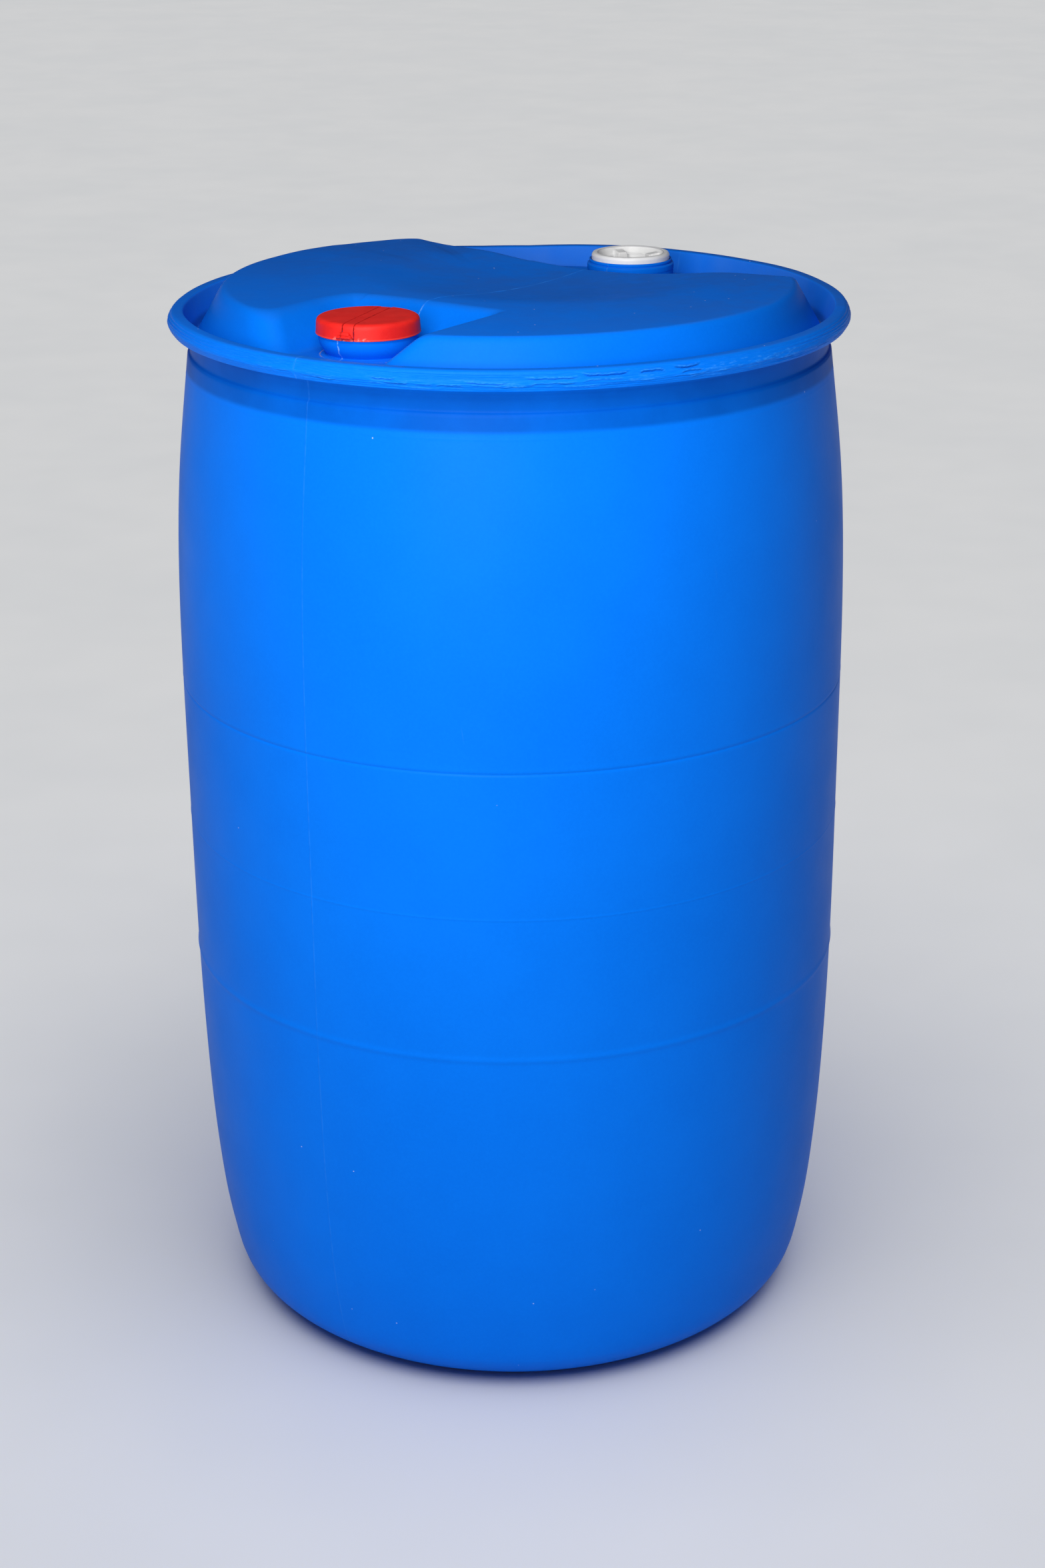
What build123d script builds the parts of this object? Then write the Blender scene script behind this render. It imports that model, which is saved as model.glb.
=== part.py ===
from build123d import *
import os
from math import sin, cos, radians, sqrt, pi

os.makedirs("parts", exist_ok=True)

# ---------------------------------------------------------------------------
# 220 litre tight-head blow-moulded drum with a moulded-on lifting ring.
# Frame: origin at the centre of the footprint on the floor, +Z up.
# All lengths in millimetres.
# ---------------------------------------------------------------------------

# overall
head_z = 932.0            # height of the raised head panel above the floor
belly_r = 292.5           # largest radius of the barrel
shoulder_r = 275.0        # barrel radius where it meets the ring neck
shoulder_z = 876.7
wall = 3.6                # barrel wall
base_wall = 4.2           # bottom wall
head_wall = 4.0           # head wall

# barrel outline, radius and height pairs from the foot to the shoulder
barrel = [
    (250.0, 10.3), (263.5, 26.0), (270.5, 50.0), (276.0, 80.0),
    (281.0, 122.0), (285.3, 176.0), (288.6, 246.0), (290.8, 324.0),
    (291.8, 403.0), (292.2, 482.0), (292.5, 561.0), (292.3, 640.0),
    (290.2, 719.0), (285.3, 789.0), (279.2, 842.0), (275.0, 876.7),
]
foot_out_r = 229.0        # outer radius of the flat standing ring
foot_in_r = 195.0         # inner radius of the flat standing ring
push_up = 12.0            # how far the middle of the base is raised

# witness lines on the barrel
groove_z = 590.0          # thin groove
groove_depth = 0.7
groove_half = 1.6
bead_z = 336.0            # soft raised band
bead_height = 0.8
bead_half = 6.0

# lifting ring
neck_r = 274.0            # outside of the leg under the ring
ring_low_z = 898.6        # underside of the ring
ring_low_r = 286.4
ring_max_r = 290.5
ring_max_z = 905.0
ring_top_z = 915.0
rim_out_r = 287.0
rim_in_r = 276.9
channel_z = 888.0         # bottom of the channel between ring and head panel
channel_in_r = 267.8
channel_out_r = 270.6

# raised head panel
panel_r = 243.5           # radius of the panel at its top, before rounding
panel_draft = 29.7        # angle of its side from the vertical, degrees
panel_round = 7.0         # flat left off the top corner of the panel
dish_depth = 11.0         # sag of the middle of the panel
dish_sphere_r = 1028.0
dish_u = -60.0            # centre of the sag along the parting plane

# parting plane of the mould: both bungs lie in it
parting_deg = -125.2      # direction of the front bung from +X
U = Vector(cos(radians(parting_deg)), sin(radians(parting_deg)), 0)
V = Vector(-sin(radians(parting_deg)), cos(radians(parting_deg)), 0)

# recesses around the two bungs, in coordinates along U and V
front_floor_z = 902.0
front_back_u = 119.0      # back wall of the front recess at panel height
front_half_v = 77.0       # half width of the front recess at panel height
rear_floor_z = 896.7
rear_front_u = -108.0     # front wall of the rear recess at panel height

# bung necks and closures
front_u = 195.5           # front neck axis along U
rear_u = -191.5           # rear neck axis along U
front_lip_z = 927.3
rear_lip_z = 922.0
lip_r = 38.2
lip_in_r = 36.1
bead_r = 40.5
bore_r = 28.1             # root of the internal thread
seat_drop = 2.5           # gasket seat below the lip
pitch = 4.0
thread_turns = 3.0
ext_core_r = 25.8         # stem of the plug
thread_h = 1.9
gasket_t = 1.5
gasket_in_r = 29.0
gasket_out_r = 34.5
flange_r = 35.2
front_flange_t = 3.2
rear_flange_t = 6.5
stem_len = 17.0
socket_r = 22.5           # wrench socket in the plug
socket_top_r = 28.8
socket_depth = 14.0       # below the underside of the flange

# tamper cap over the front plug
cap_r = 42.2
cap_in_r = 40.9
cap_top_z = 931.6
cap_under_z = 929.8
cap_skirt_z = 919.3
cap_round = 3.0
strip_deg = 69.45         # direction of the tear strip, front to back, from +X
strip_n0 = -9.1           # edges of the strip measured across it
strip_n1 = 1.5
strip_end = 38.5          # hinge end of the strip from the cap centre
score_gap = 0.3
tab_n0 = -10.3
tab_n1 = 2.8
tab_z0 = 920.7
tab_z1 = 926.0
tab_out = 46.0

front_c = U * front_u
rear_c = U * rear_u


def panel_slope_r(z):
    return panel_r + (head_z - z) * sin(radians(panel_draft)) / cos(radians(panel_draft))


def head_plane(z):
    return Plane(origin=(0, 0, z), x_dir=U, z_dir=(0, 0, 1))


def axis_plane(c):
    return Plane(origin=(c.X, c.Y, 0), x_dir=(1, 0, 0), z_dir=(0, -1, 0))


# ---------------------------------------------------------------------------
# cutters for the two recesses (t = 0: outside, t = head_wall: inside)
# ---------------------------------------------------------------------------
top_z = 940.0


def front_recess(t):
    s = t * sqrt(2.0)
    z0 = front_floor_z - t
    with BuildPart() as cutter:
        for z, ra, rb in ((z0, 6.0, 2.0), (top_z, 6.0 + (top_z - z0), 9.0)):
            up = z - head_z
            u0 = front_back_u - up - s
            w = front_half_v + up + s
            with BuildSketch(head_plane(z)) as sk:
                with BuildLine() as ln:
                    Polyline((310, -w), (310, w), (u0, w), (u0, -w), close=True)
                make_face()
                left = [p for p in sk.vertices() if abs(p.X - u0) < 1e-3 and abs(p.Y + w) < 1e-3]
                right = [p for p in sk.vertices() if abs(p.X - u0) < 1e-3 and abs(p.Y - w) < 1e-3]
                fillet(left, ra)
                fillet(right, rb)
        loft(ruled=True)
    return cutter.part


def rear_recess(t):
    s = t * sqrt(2.0)
    z0 = rear_floor_z - t
    with BuildPart() as cutter:
        for z in (z0, top_z):
            up = z - head_z
            d = up + s
            with BuildSketch(head_plane(z)) as sk:
                with BuildLine() as ln:
                    Polyline((-340, -320), (-340, 320), (rear_front_u - 57 + d, 320),
                             (rear_front_u + d, 60), (rear_front_u + d, -320), close=True)
                make_face()
                knee = [p for p in sk.vertices() if abs(p.X - rear_front_u - d) < 1e-3 and abs(p.Y - 60) < 1e-3]
                fillet(knee, 120.0 - d)
        loft(ruled=True)
    return cutter.part


with BuildPart() as inside_ring:
    with BuildSketch(Plane.XZ) as sk:
        with BuildLine() as ln:
            Polyline((0, 880), (channel_out_r, 880), (channel_out_r, channel_z + 1.5),
                     (rim_in_r, ring_top_z - 1.2), (rim_in_r, 960), (0, 960), close=True)
        make_face()
    revolve(axis=Axis.Z)


def dish(t):
    c = U * dish_u
    zb = head_z - dish_depth - t
    R = dish_sphere_r + t
    zt = top_z + 4.0
    re = sqrt(R * R - (R - (zt - zb)) ** 2)
    zm = zb + (zt - zb) * 0.3
    rm = sqrt(R * R - (R - (zm - zb)) ** 2)
    with BuildPart() as cap_cut:
        with BuildSketch(axis_plane(c)) as sk:
            with BuildLine() as ln:
                ThreePointArc((0, zb), (rm, zm), (re, zt))
                Polyline((re, zt), (0, zt), (0, zb))
            make_face()
        revolve(axis=Axis((c.X, c.Y, 0), (0, 0, 1)))
    return cap_cut.part


front_cut_out = front_recess(0.0)
rear_cut_out = rear_recess(0.0)
front_cut_in = front_recess(head_wall)
rear_cut_in = rear_recess(head_wall)
dish_out = dish(0.0)
dish_in = dish(head_wall)

# the recesses stop at the inner face of the ring
with BuildPart() as front_well:
    add(front_cut_out)
    add(inside_ring.part, mode=Mode.INTERSECT)

with BuildPart() as rear_well:
    add(rear_cut_out)
    add(inside_ring.part, mode=Mode.INTERSECT)

# ---------------------------------------------------------------------------
# inner cavity of the drum
# ---------------------------------------------------------------------------
nx = cos(radians(panel_draft)) * head_wall
nz = sin(radians(panel_draft)) * head_wall
ceil_z = head_z - head_wall
cav_z = channel_z - head_wall
cav_r = panel_slope_r(cav_z + nz) - nx
ceil_r = panel_slope_r(ceil_z + nz) - nx

with BuildPart() as cavity:
    with BuildSketch(Plane.XZ) as sk:
        with BuildLine() as ln:
            Polyline((0, push_up + base_wall), (foot_in_r - 33.5, push_up - 2.0 + base_wall),
                     (foot_in_r + 1.5, base_wall), (foot_out_r - 4.0, base_wall))
            inner = [(r - wall, z + (4.0 if z < 20 else 2.0 if z < 40 else 0.0)) for r, z in barrel[:-1]]
            Spline((foot_out_r - 4.0, base_wall), (236.0, base_wall + 4.4), *inner, (shoulder_r - wall + 0.6, 866.0))
            Polyline((shoulder_r - wall + 0.6, 866.0), (shoulder_r - wall - 0.9, 875.0), (cav_r, cav_z),
                     (ceil_r + 1.0, ceil_z - 3.0), (ceil_r - 4.0, ceil_z), (0, ceil_z), (0, push_up + base_wall))
        make_face()
    revolve(axis=Axis.Z)
    add(front_cut_in, mode=Mode.SUBTRACT)
    add(rear_cut_in, mode=Mode.SUBTRACT)
    add(dish_in, mode=Mode.SUBTRACT)


# ---------------------------------------------------------------------------
# threads: helical ridges of trapezoid section
# ---------------------------------------------------------------------------
def helix_ridge(r_root, reach, z_start, c):
    with BuildPart() as ridge:
        with BuildLine() as path:
            h = Helix(pitch=pitch, height=pitch * thread_turns, radius=r_root,
                      center=(c.X, c.Y, z_start))
        with BuildSketch(Plane(origin=h @ 0, x_dir=(1, 0, 0), z_dir=h % 0)) as sk:
            with BuildLine() as ln:
                Polyline((0, -1.0), (reach, -0.45), (reach, 0.45), (0, 1.0), close=True)
            make_face()
        sweep(is_frenet=True)
    return ridge.part


def neck_profile(lip_z, floor_z):
    # outside of a bung neck from its foot in the recess to the lip
    return [
        (bore_r - 2.0, floor_z - 1.0), (37.6, floor_z - 1.0), (37.2, floor_z + 0.4),
        (35.0, floor_z + 1.6), (34.3, floor_z + 3.4),
        (35.3, floor_z + 7.0), (37.2, floor_z + 11.0), (38.8, floor_z + 14.4),
        (39.6, floor_z + 16.8), (bead_r, lip_z - 7.3), (bead_r, lip_z - 4.0),
        (lip_r + 0.4, lip_z - 3.0), (lip_r, lip_z - 2.6), (lip_r, lip_z - 0.5),
        (lip_r - 0.5, lip_z), (lip_in_r + 0.3, lip_z), (lip_in_r, lip_z - 0.3),
        (lip_in_r, lip_z - seat_drop), (bore_r - 2.0, lip_z - seat_drop),
    ]


# ---------------------------------------------------------------------------
# drum shell: barrel, base, head, ring and both necks in one moulding
# ---------------------------------------------------------------------------
slope_top_z = head_z - panel_round * 0.55
with BuildPart() as drum_shell:
    with BuildSketch(Plane.XZ) as sk:
        with BuildLine() as ln:
            Polyline((0, push_up), (foot_in_r - 35.0, push_up - 2.0), (foot_in_r, 0), (foot_out_r, 0))
            Spline((foot_out_r, 0), (240.0, 4.2), *barrel)
            Polyline(
                (shoulder_r, shoulder_z), (neck_r, shoulder_z + 4.8),
                (neck_r, ring_low_z - 4.0), (neck_r + 1.3, ring_low_z - 1.3), (neck_r + 4.0, ring_low_z),
                (ring_low_r, ring_low_z), (ring_low_r + 0.8, ring_low_z + 0.8),
                (ring_max_r, ring_max_z), (ring_max_r - 0.4, ring_max_z + 3.0),
                (rim_out_r + 1.2, ring_top_z - 3.2), (rim_out_r, ring_top_z - 1.4),
                (rim_out_r - 2.0, ring_top_z - 0.2), (rim_out_r - 4.0, ring_top_z),
                (rim_in_r + 2.4, ring_top_z), (rim_in_r + 0.7, ring_top_z - 0.4),
                (rim_in_r, ring_top_z - 1.2), (channel_out_r, channel_z + 1.5),
                (channel_out_r - 0.8, channel_z), (channel_in_r + 0.8, channel_z),
                (channel_in_r - 0.6, channel_z + 1.5), (panel_slope_r(slope_top_z), slope_top_z),
                (panel_r - panel_round * 0.25, head_z - panel_round * 0.14),
                (panel_r - panel_round * 0.75, head_z), (0, head_z), (0, push_up))
        make_face()
    revolve(axis=Axis.Z)
    # thin groove and soft band on the barrel
    with BuildSketch(Plane.XZ) as sk:
        with BuildLine() as ln:
            Polyline((292.5 - groove_depth, groove_z), (294.0, groove_z - groove_half - 1.4),
                     (294.0, groove_z + groove_half + 1.4), close=True)
        make_face()
    revolve(axis=Axis.Z, mode=Mode.SUBTRACT)
    with BuildSketch(Plane.XZ) as sk:
        with BuildLine() as ln:
            ThreePointArc((290.6, bead_z - bead_half), (291.0 + bead_height, bead_z), (290.8, bead_z + bead_half))
            Polyline((290.8, bead_z + bead_half), (289.0, bead_z), (290.6, bead_z - bead_half))
        make_face()
    revolve(axis=Axis.Z)
    # recesses and the sag of the head
    add(front_well.part, mode=Mode.SUBTRACT)
    add(rear_well.part, mode=Mode.SUBTRACT)
    add(dish_out, mode=Mode.SUBTRACT)
    # necks
    for c, lip_z, floor_z in ((front_c, front_lip_z, front_floor_z), (rear_c, rear_lip_z, rear_floor_z)):
        with BuildSketch(axis_plane(c)) as sk:
            with BuildLine() as ln:
                Polyline(*neck_profile(lip_z, floor_z), close=True)
            make_face()
        revolve(axis=Axis((c.X, c.Y, 0), (0, 0, 1)))
    add(cavity.part, mode=Mode.SUBTRACT)
    for c, lip_z, floor_z in ((front_c, front_lip_z, front_floor_z), (rear_c, rear_lip_z, rear_floor_z)):
        with BuildSketch(Plane(origin=(c.X, c.Y, floor_z - 12.0), x_dir=(1, 0, 0), z_dir=(0, 0, 1))) as sk:
            Circle(bore_r)
        extrude(amount=lip_z - floor_z + 14.0, mode=Mode.SUBTRACT)
    for c, lip_z in ((front_c, front_lip_z), (rear_c, rear_lip_z)):
        add(helix_ridge(bore_r + 0.2, -(thread_h + 0.2), lip_z - seat_drop - 4.0 - pitch * thread_turns, c))
drum_shell.part.label = "drum_shell"
export_step(drum_shell.part, "parts/drum_shell.step")


# ---------------------------------------------------------------------------
# screw plugs and their gaskets
# ---------------------------------------------------------------------------
def plug_profile(zb, zt):
    return [
        (0, zb - stem_len), (ext_core_r - 1.2, zb - stem_len), (ext_core_r, zb - stem_len + 1.2),
        (ext_core_r, zb), (flange_r - 0.4, zb), (flange_r, zb + 0.4),
        (flange_r, zt - min(2.0, (zt - zb) * 0.5)), (31.2, zt), (socket_top_r + 0.8, zt),
        (socket_top_r, zt - 0.8), (socket_top_r, zb + 1.6), (socket_r, zb + 1.6),
        (socket_r, zb - socket_depth), (0, zb - socket_depth),
    ]


front_zb = front_lip_z - seat_drop + gasket_t
rear_zb = rear_lip_z - seat_drop + gasket_t

with BuildPart() as rear_plug:
    with BuildSketch(axis_plane(rear_c)) as sk:
        with BuildLine() as ln:
            Polyline(*plug_profile(rear_zb, rear_zb + rear_flange_t), close=True)
        make_face()
    revolve(axis=Axis((rear_c.X, rear_c.Y, 0), (0, 0, 1)))
    # four wrench lugs in the socket
    with BuildSketch(Plane(origin=(rear_c.X, rear_c.Y, rear_zb - socket_depth - 0.5), x_dir=(1, 0, 0), z_dir=(0, 0, 1))) as sk:
        with PolarLocations(20.0, 4, start_angle=22.0):
            Rectangle(6.4, 8.0)
    extrude(amount=socket_depth + 0.5 + 1.6)
    with BuildSketch(Plane(origin=(rear_c.X, rear_c.Y, rear_zb + 1.4), x_dir=(1, 0, 0), z_dir=(0, 0, 1))) as sk:
        with PolarLocations(25.6, 4, start_angle=22.0):
            Rectangle(7.0, 8.0)
    extrude(amount=rear_flange_t - 1.4 - 2.2)
    add(helix_ridge(ext_core_r - 0.2, thread_h + 0.2, rear_zb - 3.5 - pitch * thread_turns, rear_c))
rear_plug.part.label = "rear_plug"
export_step(rear_plug.part, "parts/rear_plug.step")

with BuildPart() as front_plug:
    with BuildSketch(axis_plane(front_c)) as sk:
        with BuildLine() as ln:
            Polyline(*plug_profile(front_zb, front_zb + front_flange_t), close=True)
        make_face()
    revolve(axis=Axis((front_c.X, front_c.Y, 0), (0, 0, 1)))
    with BuildSketch(Plane(origin=(front_c.X, front_c.Y, front_zb - socket_depth - 0.5), x_dir=(1, 0, 0), z_dir=(0, 0, 1))) as sk:
        with PolarLocations(20.0, 4, start_angle=40.0):
            Rectangle(6.4, 8.0)
    extrude(amount=socket_depth + 0.5 + 1.6)
    add(helix_ridge(ext_core_r - 0.2, thread_h + 0.2, front_zb - 3.5 - pitch * thread_turns, front_c))
front_plug.part.label = "front_plug"
export_step(front_plug.part, "parts/front_plug.step")

with BuildPart() as rear_plug_gasket:
    with BuildSketch(Plane(origin=(rear_c.X, rear_c.Y, rear_lip_z - seat_drop), x_dir=(1, 0, 0), z_dir=(0, 0, 1))) as sk:
        Circle(gasket_out_r)
        Circle(gasket_in_r, mode=Mode.SUBTRACT)
    extrude(amount=gasket_t)
rear_plug_gasket.part.label = "rear_plug_gasket"
export_step(rear_plug_gasket.part, "parts/rear_plug_gasket.step")

with BuildPart() as front_plug_gasket:
    with BuildSketch(Plane(origin=(front_c.X, front_c.Y, front_lip_z - seat_drop), x_dir=(1, 0, 0), z_dir=(0, 0, 1))) as sk:
        Circle(gasket_out_r)
        Circle(gasket_in_r, mode=Mode.SUBTRACT)
    extrude(amount=gasket_t)
front_plug_gasket.part.label = "front_plug_gasket"
export_step(front_plug_gasket.part, "parts/front_plug_gasket.step")

# ---------------------------------------------------------------------------
# tamper cap: one pressing, divided by the two score lines of its tear strip
# ---------------------------------------------------------------------------
d_dir = Vector(cos(radians(strip_deg)), sin(radians(strip_deg)), 0)
n_dir = Vector(sin(radians(strip_deg)), -cos(radians(strip_deg)), 0)


def strip_plane(z):
    # local x across the strip, local y along it towards the hinge end
    return Plane(origin=(front_c.X, front_c.Y, z), x_dir=n_dir, z_dir=(0, 0, 1))


with BuildPart() as cap_blank:
    with BuildSketch(axis_plane(front_c)) as sk:
        with BuildLine() as ln:
            Polyline((0, cap_top_z), (cap_r - cap_round, cap_top_z))
            RadiusArc((cap_r - cap_round, cap_top_z), (cap_r, cap_top_z - cap_round), cap_round)
            Polyline((cap_r, cap_top_z - cap_round), (cap_r, cap_skirt_z), (cap_in_r, cap_skirt_z),
                     (cap_in_r, cap_under_z - 1.6), (cap_in_r - 1.6, cap_under_z), (0, cap_under_z), (0, cap_top_z))
        make_face()
    revolve(axis=Axis((front_c.X, front_c.Y, 0), (0, 0, 1)))

with BuildPart() as overcap:
    add(cap_blank.part)
    with BuildSketch(strip_plane(cap_skirt_z - 5.0)) as sk:
        with BuildLine() as ln:
            Polyline((strip_n0 - score_gap / 2, -60), (strip_n1 + score_gap / 2, -60),
                     (strip_n1 + score_gap / 2, strip_end + score_gap), (strip_n0 - score_gap / 2, strip_end + score_gap),
                     close=True)
        make_face()
    extrude(amount=30.0, mode=Mode.SUBTRACT)
overcap.part.label = "overcap"
export_step(overcap.part, "parts/overcap.step")

with BuildPart() as tear_strip:
    # pull tab standing off the skirt
    with BuildSketch(strip_plane(tab_z0)) as sk:
        with BuildLine() as ln:
            Polyline((tab_n0, -tab_out), (tab_n1, -tab_out), (tab_n1, -36.0), (tab_n0, -36.0), close=True)
        make_face()
        Circle(cap_r + 0.4, mode=Mode.SUBTRACT)
    extrude(amount=tab_z1 - tab_z0)
    # root of the tab on the strip itself
    with BuildSketch(strip_plane(tab_z0)) as sk:
        with BuildLine() as ln:
            Polyline((strip_n0 + score_gap / 2, -tab_out + 1.0), (strip_n1 - score_gap / 2, -tab_out + 1.0),
                     (strip_n1 - score_gap / 2, -36.0), (strip_n0 + score_gap / 2, -36.0), close=True)
        make_face()
        Circle(cap_r - 0.8, mode=Mode.SUBTRACT)
    extrude(amount=tab_z1 - tab_z0)
    # grip ribs along the tab
    for i in range(3):
        with BuildSketch(strip_plane(tab_z0 + 0.9 + 1.6 * i)) as sk:
            with BuildLine() as ln:
                Polyline((tab_n0 + 0.8, -tab_out - 0.6), (tab_n1 - 0.8, -tab_out - 0.6),
                         (tab_n1 - 0.8, -tab_out + 0.6), (tab_n0 + 0.8, -tab_out + 0.6), close=True)
            make_face()
        extrude(amount=0.8)
    # band across the top and down the skirt
    with BuildSketch(strip_plane(cap_skirt_z)) as sk:
        with BuildLine() as ln:
            Polyline((strip_n0 + score_gap / 2, -60), (strip_n1 - score_gap / 2, -60),
                     (strip_n1 - score_gap / 2, strip_end), (strip_n0 + score_gap / 2, strip_end), close=True)
        make_face()
        Circle(cap_r, mode=Mode.INTERSECT)
    extrude(amount=cap_top_z - cap_skirt_z)
    with BuildSketch(axis_plane(front_c)) as sk:
        with BuildLine() as ln:
            Polyline((0, cap_skirt_z - 1), (cap_in_r, cap_skirt_z - 1), (cap_in_r, cap_under_z - 1.6),
                     (cap_in_r - 1.6, cap_under_z), (0, cap_under_z), close=True)
        make_face()
    revolve(axis=Axis((front_c.X, front_c.Y, 0), (0, 0, 1)), mode=Mode.SUBTRACT)
    with BuildSketch(axis_plane(front_c)) as sk:
        with BuildLine() as ln:
            RadiusArc((cap_r - cap_round, cap_top_z), (cap_r, cap_top_z - cap_round), cap_round)
            Polyline((cap_r, cap_top_z - cap_round), (cap_r + 1, cap_top_z - cap_round),
                     (cap_r + 1, cap_top_z + 1), (cap_r - cap_round, cap_top_z + 1), (cap_r - cap_round, cap_top_z))
        make_face()
    revolve(axis=Axis((front_c.X, front_c.Y, 0), (0, 0, 1)), mode=Mode.SUBTRACT)
tear_strip.part.label = "tear_strip"
export_step(tear_strip.part, "parts/tear_strip.step")
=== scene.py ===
import math
import bpy
import bmesh
import numpy as np
from mathutils import Matrix, Vector


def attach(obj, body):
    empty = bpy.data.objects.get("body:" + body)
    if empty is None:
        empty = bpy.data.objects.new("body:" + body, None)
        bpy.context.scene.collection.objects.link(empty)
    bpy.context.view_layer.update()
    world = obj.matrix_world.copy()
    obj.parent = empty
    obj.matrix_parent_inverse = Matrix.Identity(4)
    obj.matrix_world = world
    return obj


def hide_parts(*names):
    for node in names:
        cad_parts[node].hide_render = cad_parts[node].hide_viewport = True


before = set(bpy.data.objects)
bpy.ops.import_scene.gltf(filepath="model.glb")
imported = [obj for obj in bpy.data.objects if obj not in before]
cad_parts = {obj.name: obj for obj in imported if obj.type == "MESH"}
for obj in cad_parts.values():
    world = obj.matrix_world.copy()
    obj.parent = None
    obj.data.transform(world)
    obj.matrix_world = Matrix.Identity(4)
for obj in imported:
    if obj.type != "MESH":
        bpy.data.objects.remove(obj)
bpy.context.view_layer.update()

MM = 0.001

# ---------------------------------------------------------------------------
# dimensions of the moulding, in millimetres, in the frame's axes
# ---------------------------------------------------------------------------
HEAD_Z = 932.0
PANEL_R = 243.5
SLOPE = 1.0 / math.tan(math.radians(29.7))
PARTING = math.radians(-125.2)
U = np.array([math.cos(PARTING), math.sin(PARTING)])
V = np.array([-math.sin(PARTING), math.cos(PARTING)])
FRONT_C = U * 195.5
REAR_C = -U * 191.5
FRONT_FLOOR, REAR_FLOOR = 902.0, 896.7
FRONT_LIP, REAR_LIP = 927.3, 922.0
BORE_R = 28.1
STRIP_A = math.radians(69.45)

BARREL = [
    (229.0, 0.0), (232.6, 0.5), (240.0, 4.2), (250.0, 10.3), (263.5, 26.0), (270.5, 50.0), (276.0, 80.0),
    (281.0, 122.0), (285.3, 176.0), (288.6, 246.0), (290.8, 324.0),
    (291.8, 403.0), (292.2, 482.0), (292.5, 561.0), (292.3, 640.0),
    (290.2, 719.0), (285.3, 789.0), (279.2, 842.0), (275.0, 876.7)]
RING = [
    (275.0, 876.7), (274.2, 878.2), (273.0, 879.0), (272.5, 880.0), (272.5, 881.5), (272.9, 888.0), (273.6, 894.0),
    (274.7, 897.0), (277.2, 898.4), (282.0, 898.6), (286.6, 898.5), (287.0, 898.6), (287.3, 898.9), (289.0, 902.0),
    (290.3, 904.4), (290.45, 905.4), (290.0, 907.6), (289.3, 909.6), (288.4, 911.6), (288.1, 911.9), (287.9, 912.0), (287.5, 913.0),
    (286.6, 914.2), (285.2, 914.9), (283.0, 915.0), (279.3, 915.0), (277.6, 914.7), (276.9, 913.8)]


def smin(a, b, k):
    k = np.maximum(k, 1e-6)
    h = np.clip(0.5 + 0.5 * (b - a) / k, 0.0, 1.0)
    return b * (1 - h) + a * h - k * h * (1 - h)


def smax(a, b, k):
    return -smin(-a, -b, k)


def step(a, b, x):
    t = np.clip((x - a) / (b - a), 0.0, 1.0)
    return t * t * (3 - 2 * t)


def curve_through(pts, n):
    """A natural cubic through the points, by chord length."""
    p = np.array(pts, float)
    t = np.concatenate([[0], np.cumsum(np.hypot(*np.diff(p, axis=0).T) ** 0.75)])
    m = len(p)
    h = np.diff(t)
    A = np.eye(m)
    B = np.zeros((m, 2))
    for i in range(1, m - 1):
        A[i, i - 1], A[i, i], A[i, i + 1] = h[i - 1], 2 * (h[i - 1] + h[i]), h[i]
        B[i] = 6 * ((p[i + 1] - p[i]) / h[i] - (p[i] - p[i - 1]) / h[i - 1])
    M = np.linalg.solve(A, B)
    s = np.linspace(0, t[-1], n)
    k = np.clip(np.searchsorted(t, s, side="right") - 1, 0, m - 2)
    a, b, hh = (t[k + 1] - s)[:, None], (s - t[k])[:, None], h[k][:, None]
    return (M[k] * a ** 3 + M[k + 1] * b ** 3) / (6 * hh) + (p[k] / hh - M[k] * hh / 6) * a + (p[k + 1] / hh - M[k + 1] * hh / 6) * b


def chaikin(pts, n=2):
    p = [np.array(q, float) for q in pts]
    for _ in range(n):
        q = [p[0]]
        for a, b in zip(p[:-1], p[1:]):
            q += [a * 0.75 + b * 0.25, a * 0.25 + b * 0.75]
        q.append(p[-1])
        p = q
    return np.array(p)


def resample(p, d):
    s = np.concatenate([[0], np.cumsum(np.hypot(*np.diff(p, axis=0).T))])
    n = max(2, int(round(s[-1] / d)) + 1)
    t = np.linspace(0, s[-1], n)
    return np.stack([np.interp(t, s, p[:, 0]), np.interp(t, s, p[:, 1])], 1)


def soften(pts, default=0.5, k=4):
    """Rounds the corners of a line. A point may carry its own radius as a third number."""
    out = [pts[0][:2]]
    for i in range(1, len(pts) - 1):
        a, b, c = (np.array(q[:2], float) for q in (pts[i - 1], pts[i], pts[i + 1]))
        rad = pts[i][2] if len(pts[i]) > 2 else default
        l1, l2 = np.linalg.norm(a - b), np.linalg.norm(c - b)
        d = min(rad, 0.48 * l1, 0.48 * l2)
        p0, p1 = b + (a - b) / l1 * d, b + (c - b) / l2 * d
        for t in np.linspace(0, 1, k):
            out.append(tuple(p0 * (1 - t) ** 2 + b * 2 * t * (1 - t) + p1 * t ** 2))
    out.append(pts[-1][:2])
    return np.array(out)


class Waves:
    """Smooth repeatable noise in 2-D or 3-D: a sum of plane waves."""

    def __init__(self, seed, scale, dims=2, n=28, octaves=1):
        rng = np.random.RandomState(seed)
        self.parts = []
        for o in range(octaves):
            f = 2 ** o / scale
            d = rng.normal(size=(n, dims))
            d /= np.linalg.norm(d, axis=1)[:, None]
            d *= (rng.uniform(0.5, 1.3, size=n) * f * 2 * math.pi)[:, None]
            self.parts.append((d, rng.uniform(0, 2 * math.pi, n), 0.55 ** o * math.sqrt(2.0 / n)))

    def __call__(self, *c):
        out = 0.0
        for d, ph, amp in self.parts:
            for k in range(len(ph)):
                a = ph[k]
                for j, x in enumerate(c):
                    a = a + d[k, j] * x
                out = out + amp * np.sin(a)
        return out


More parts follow.
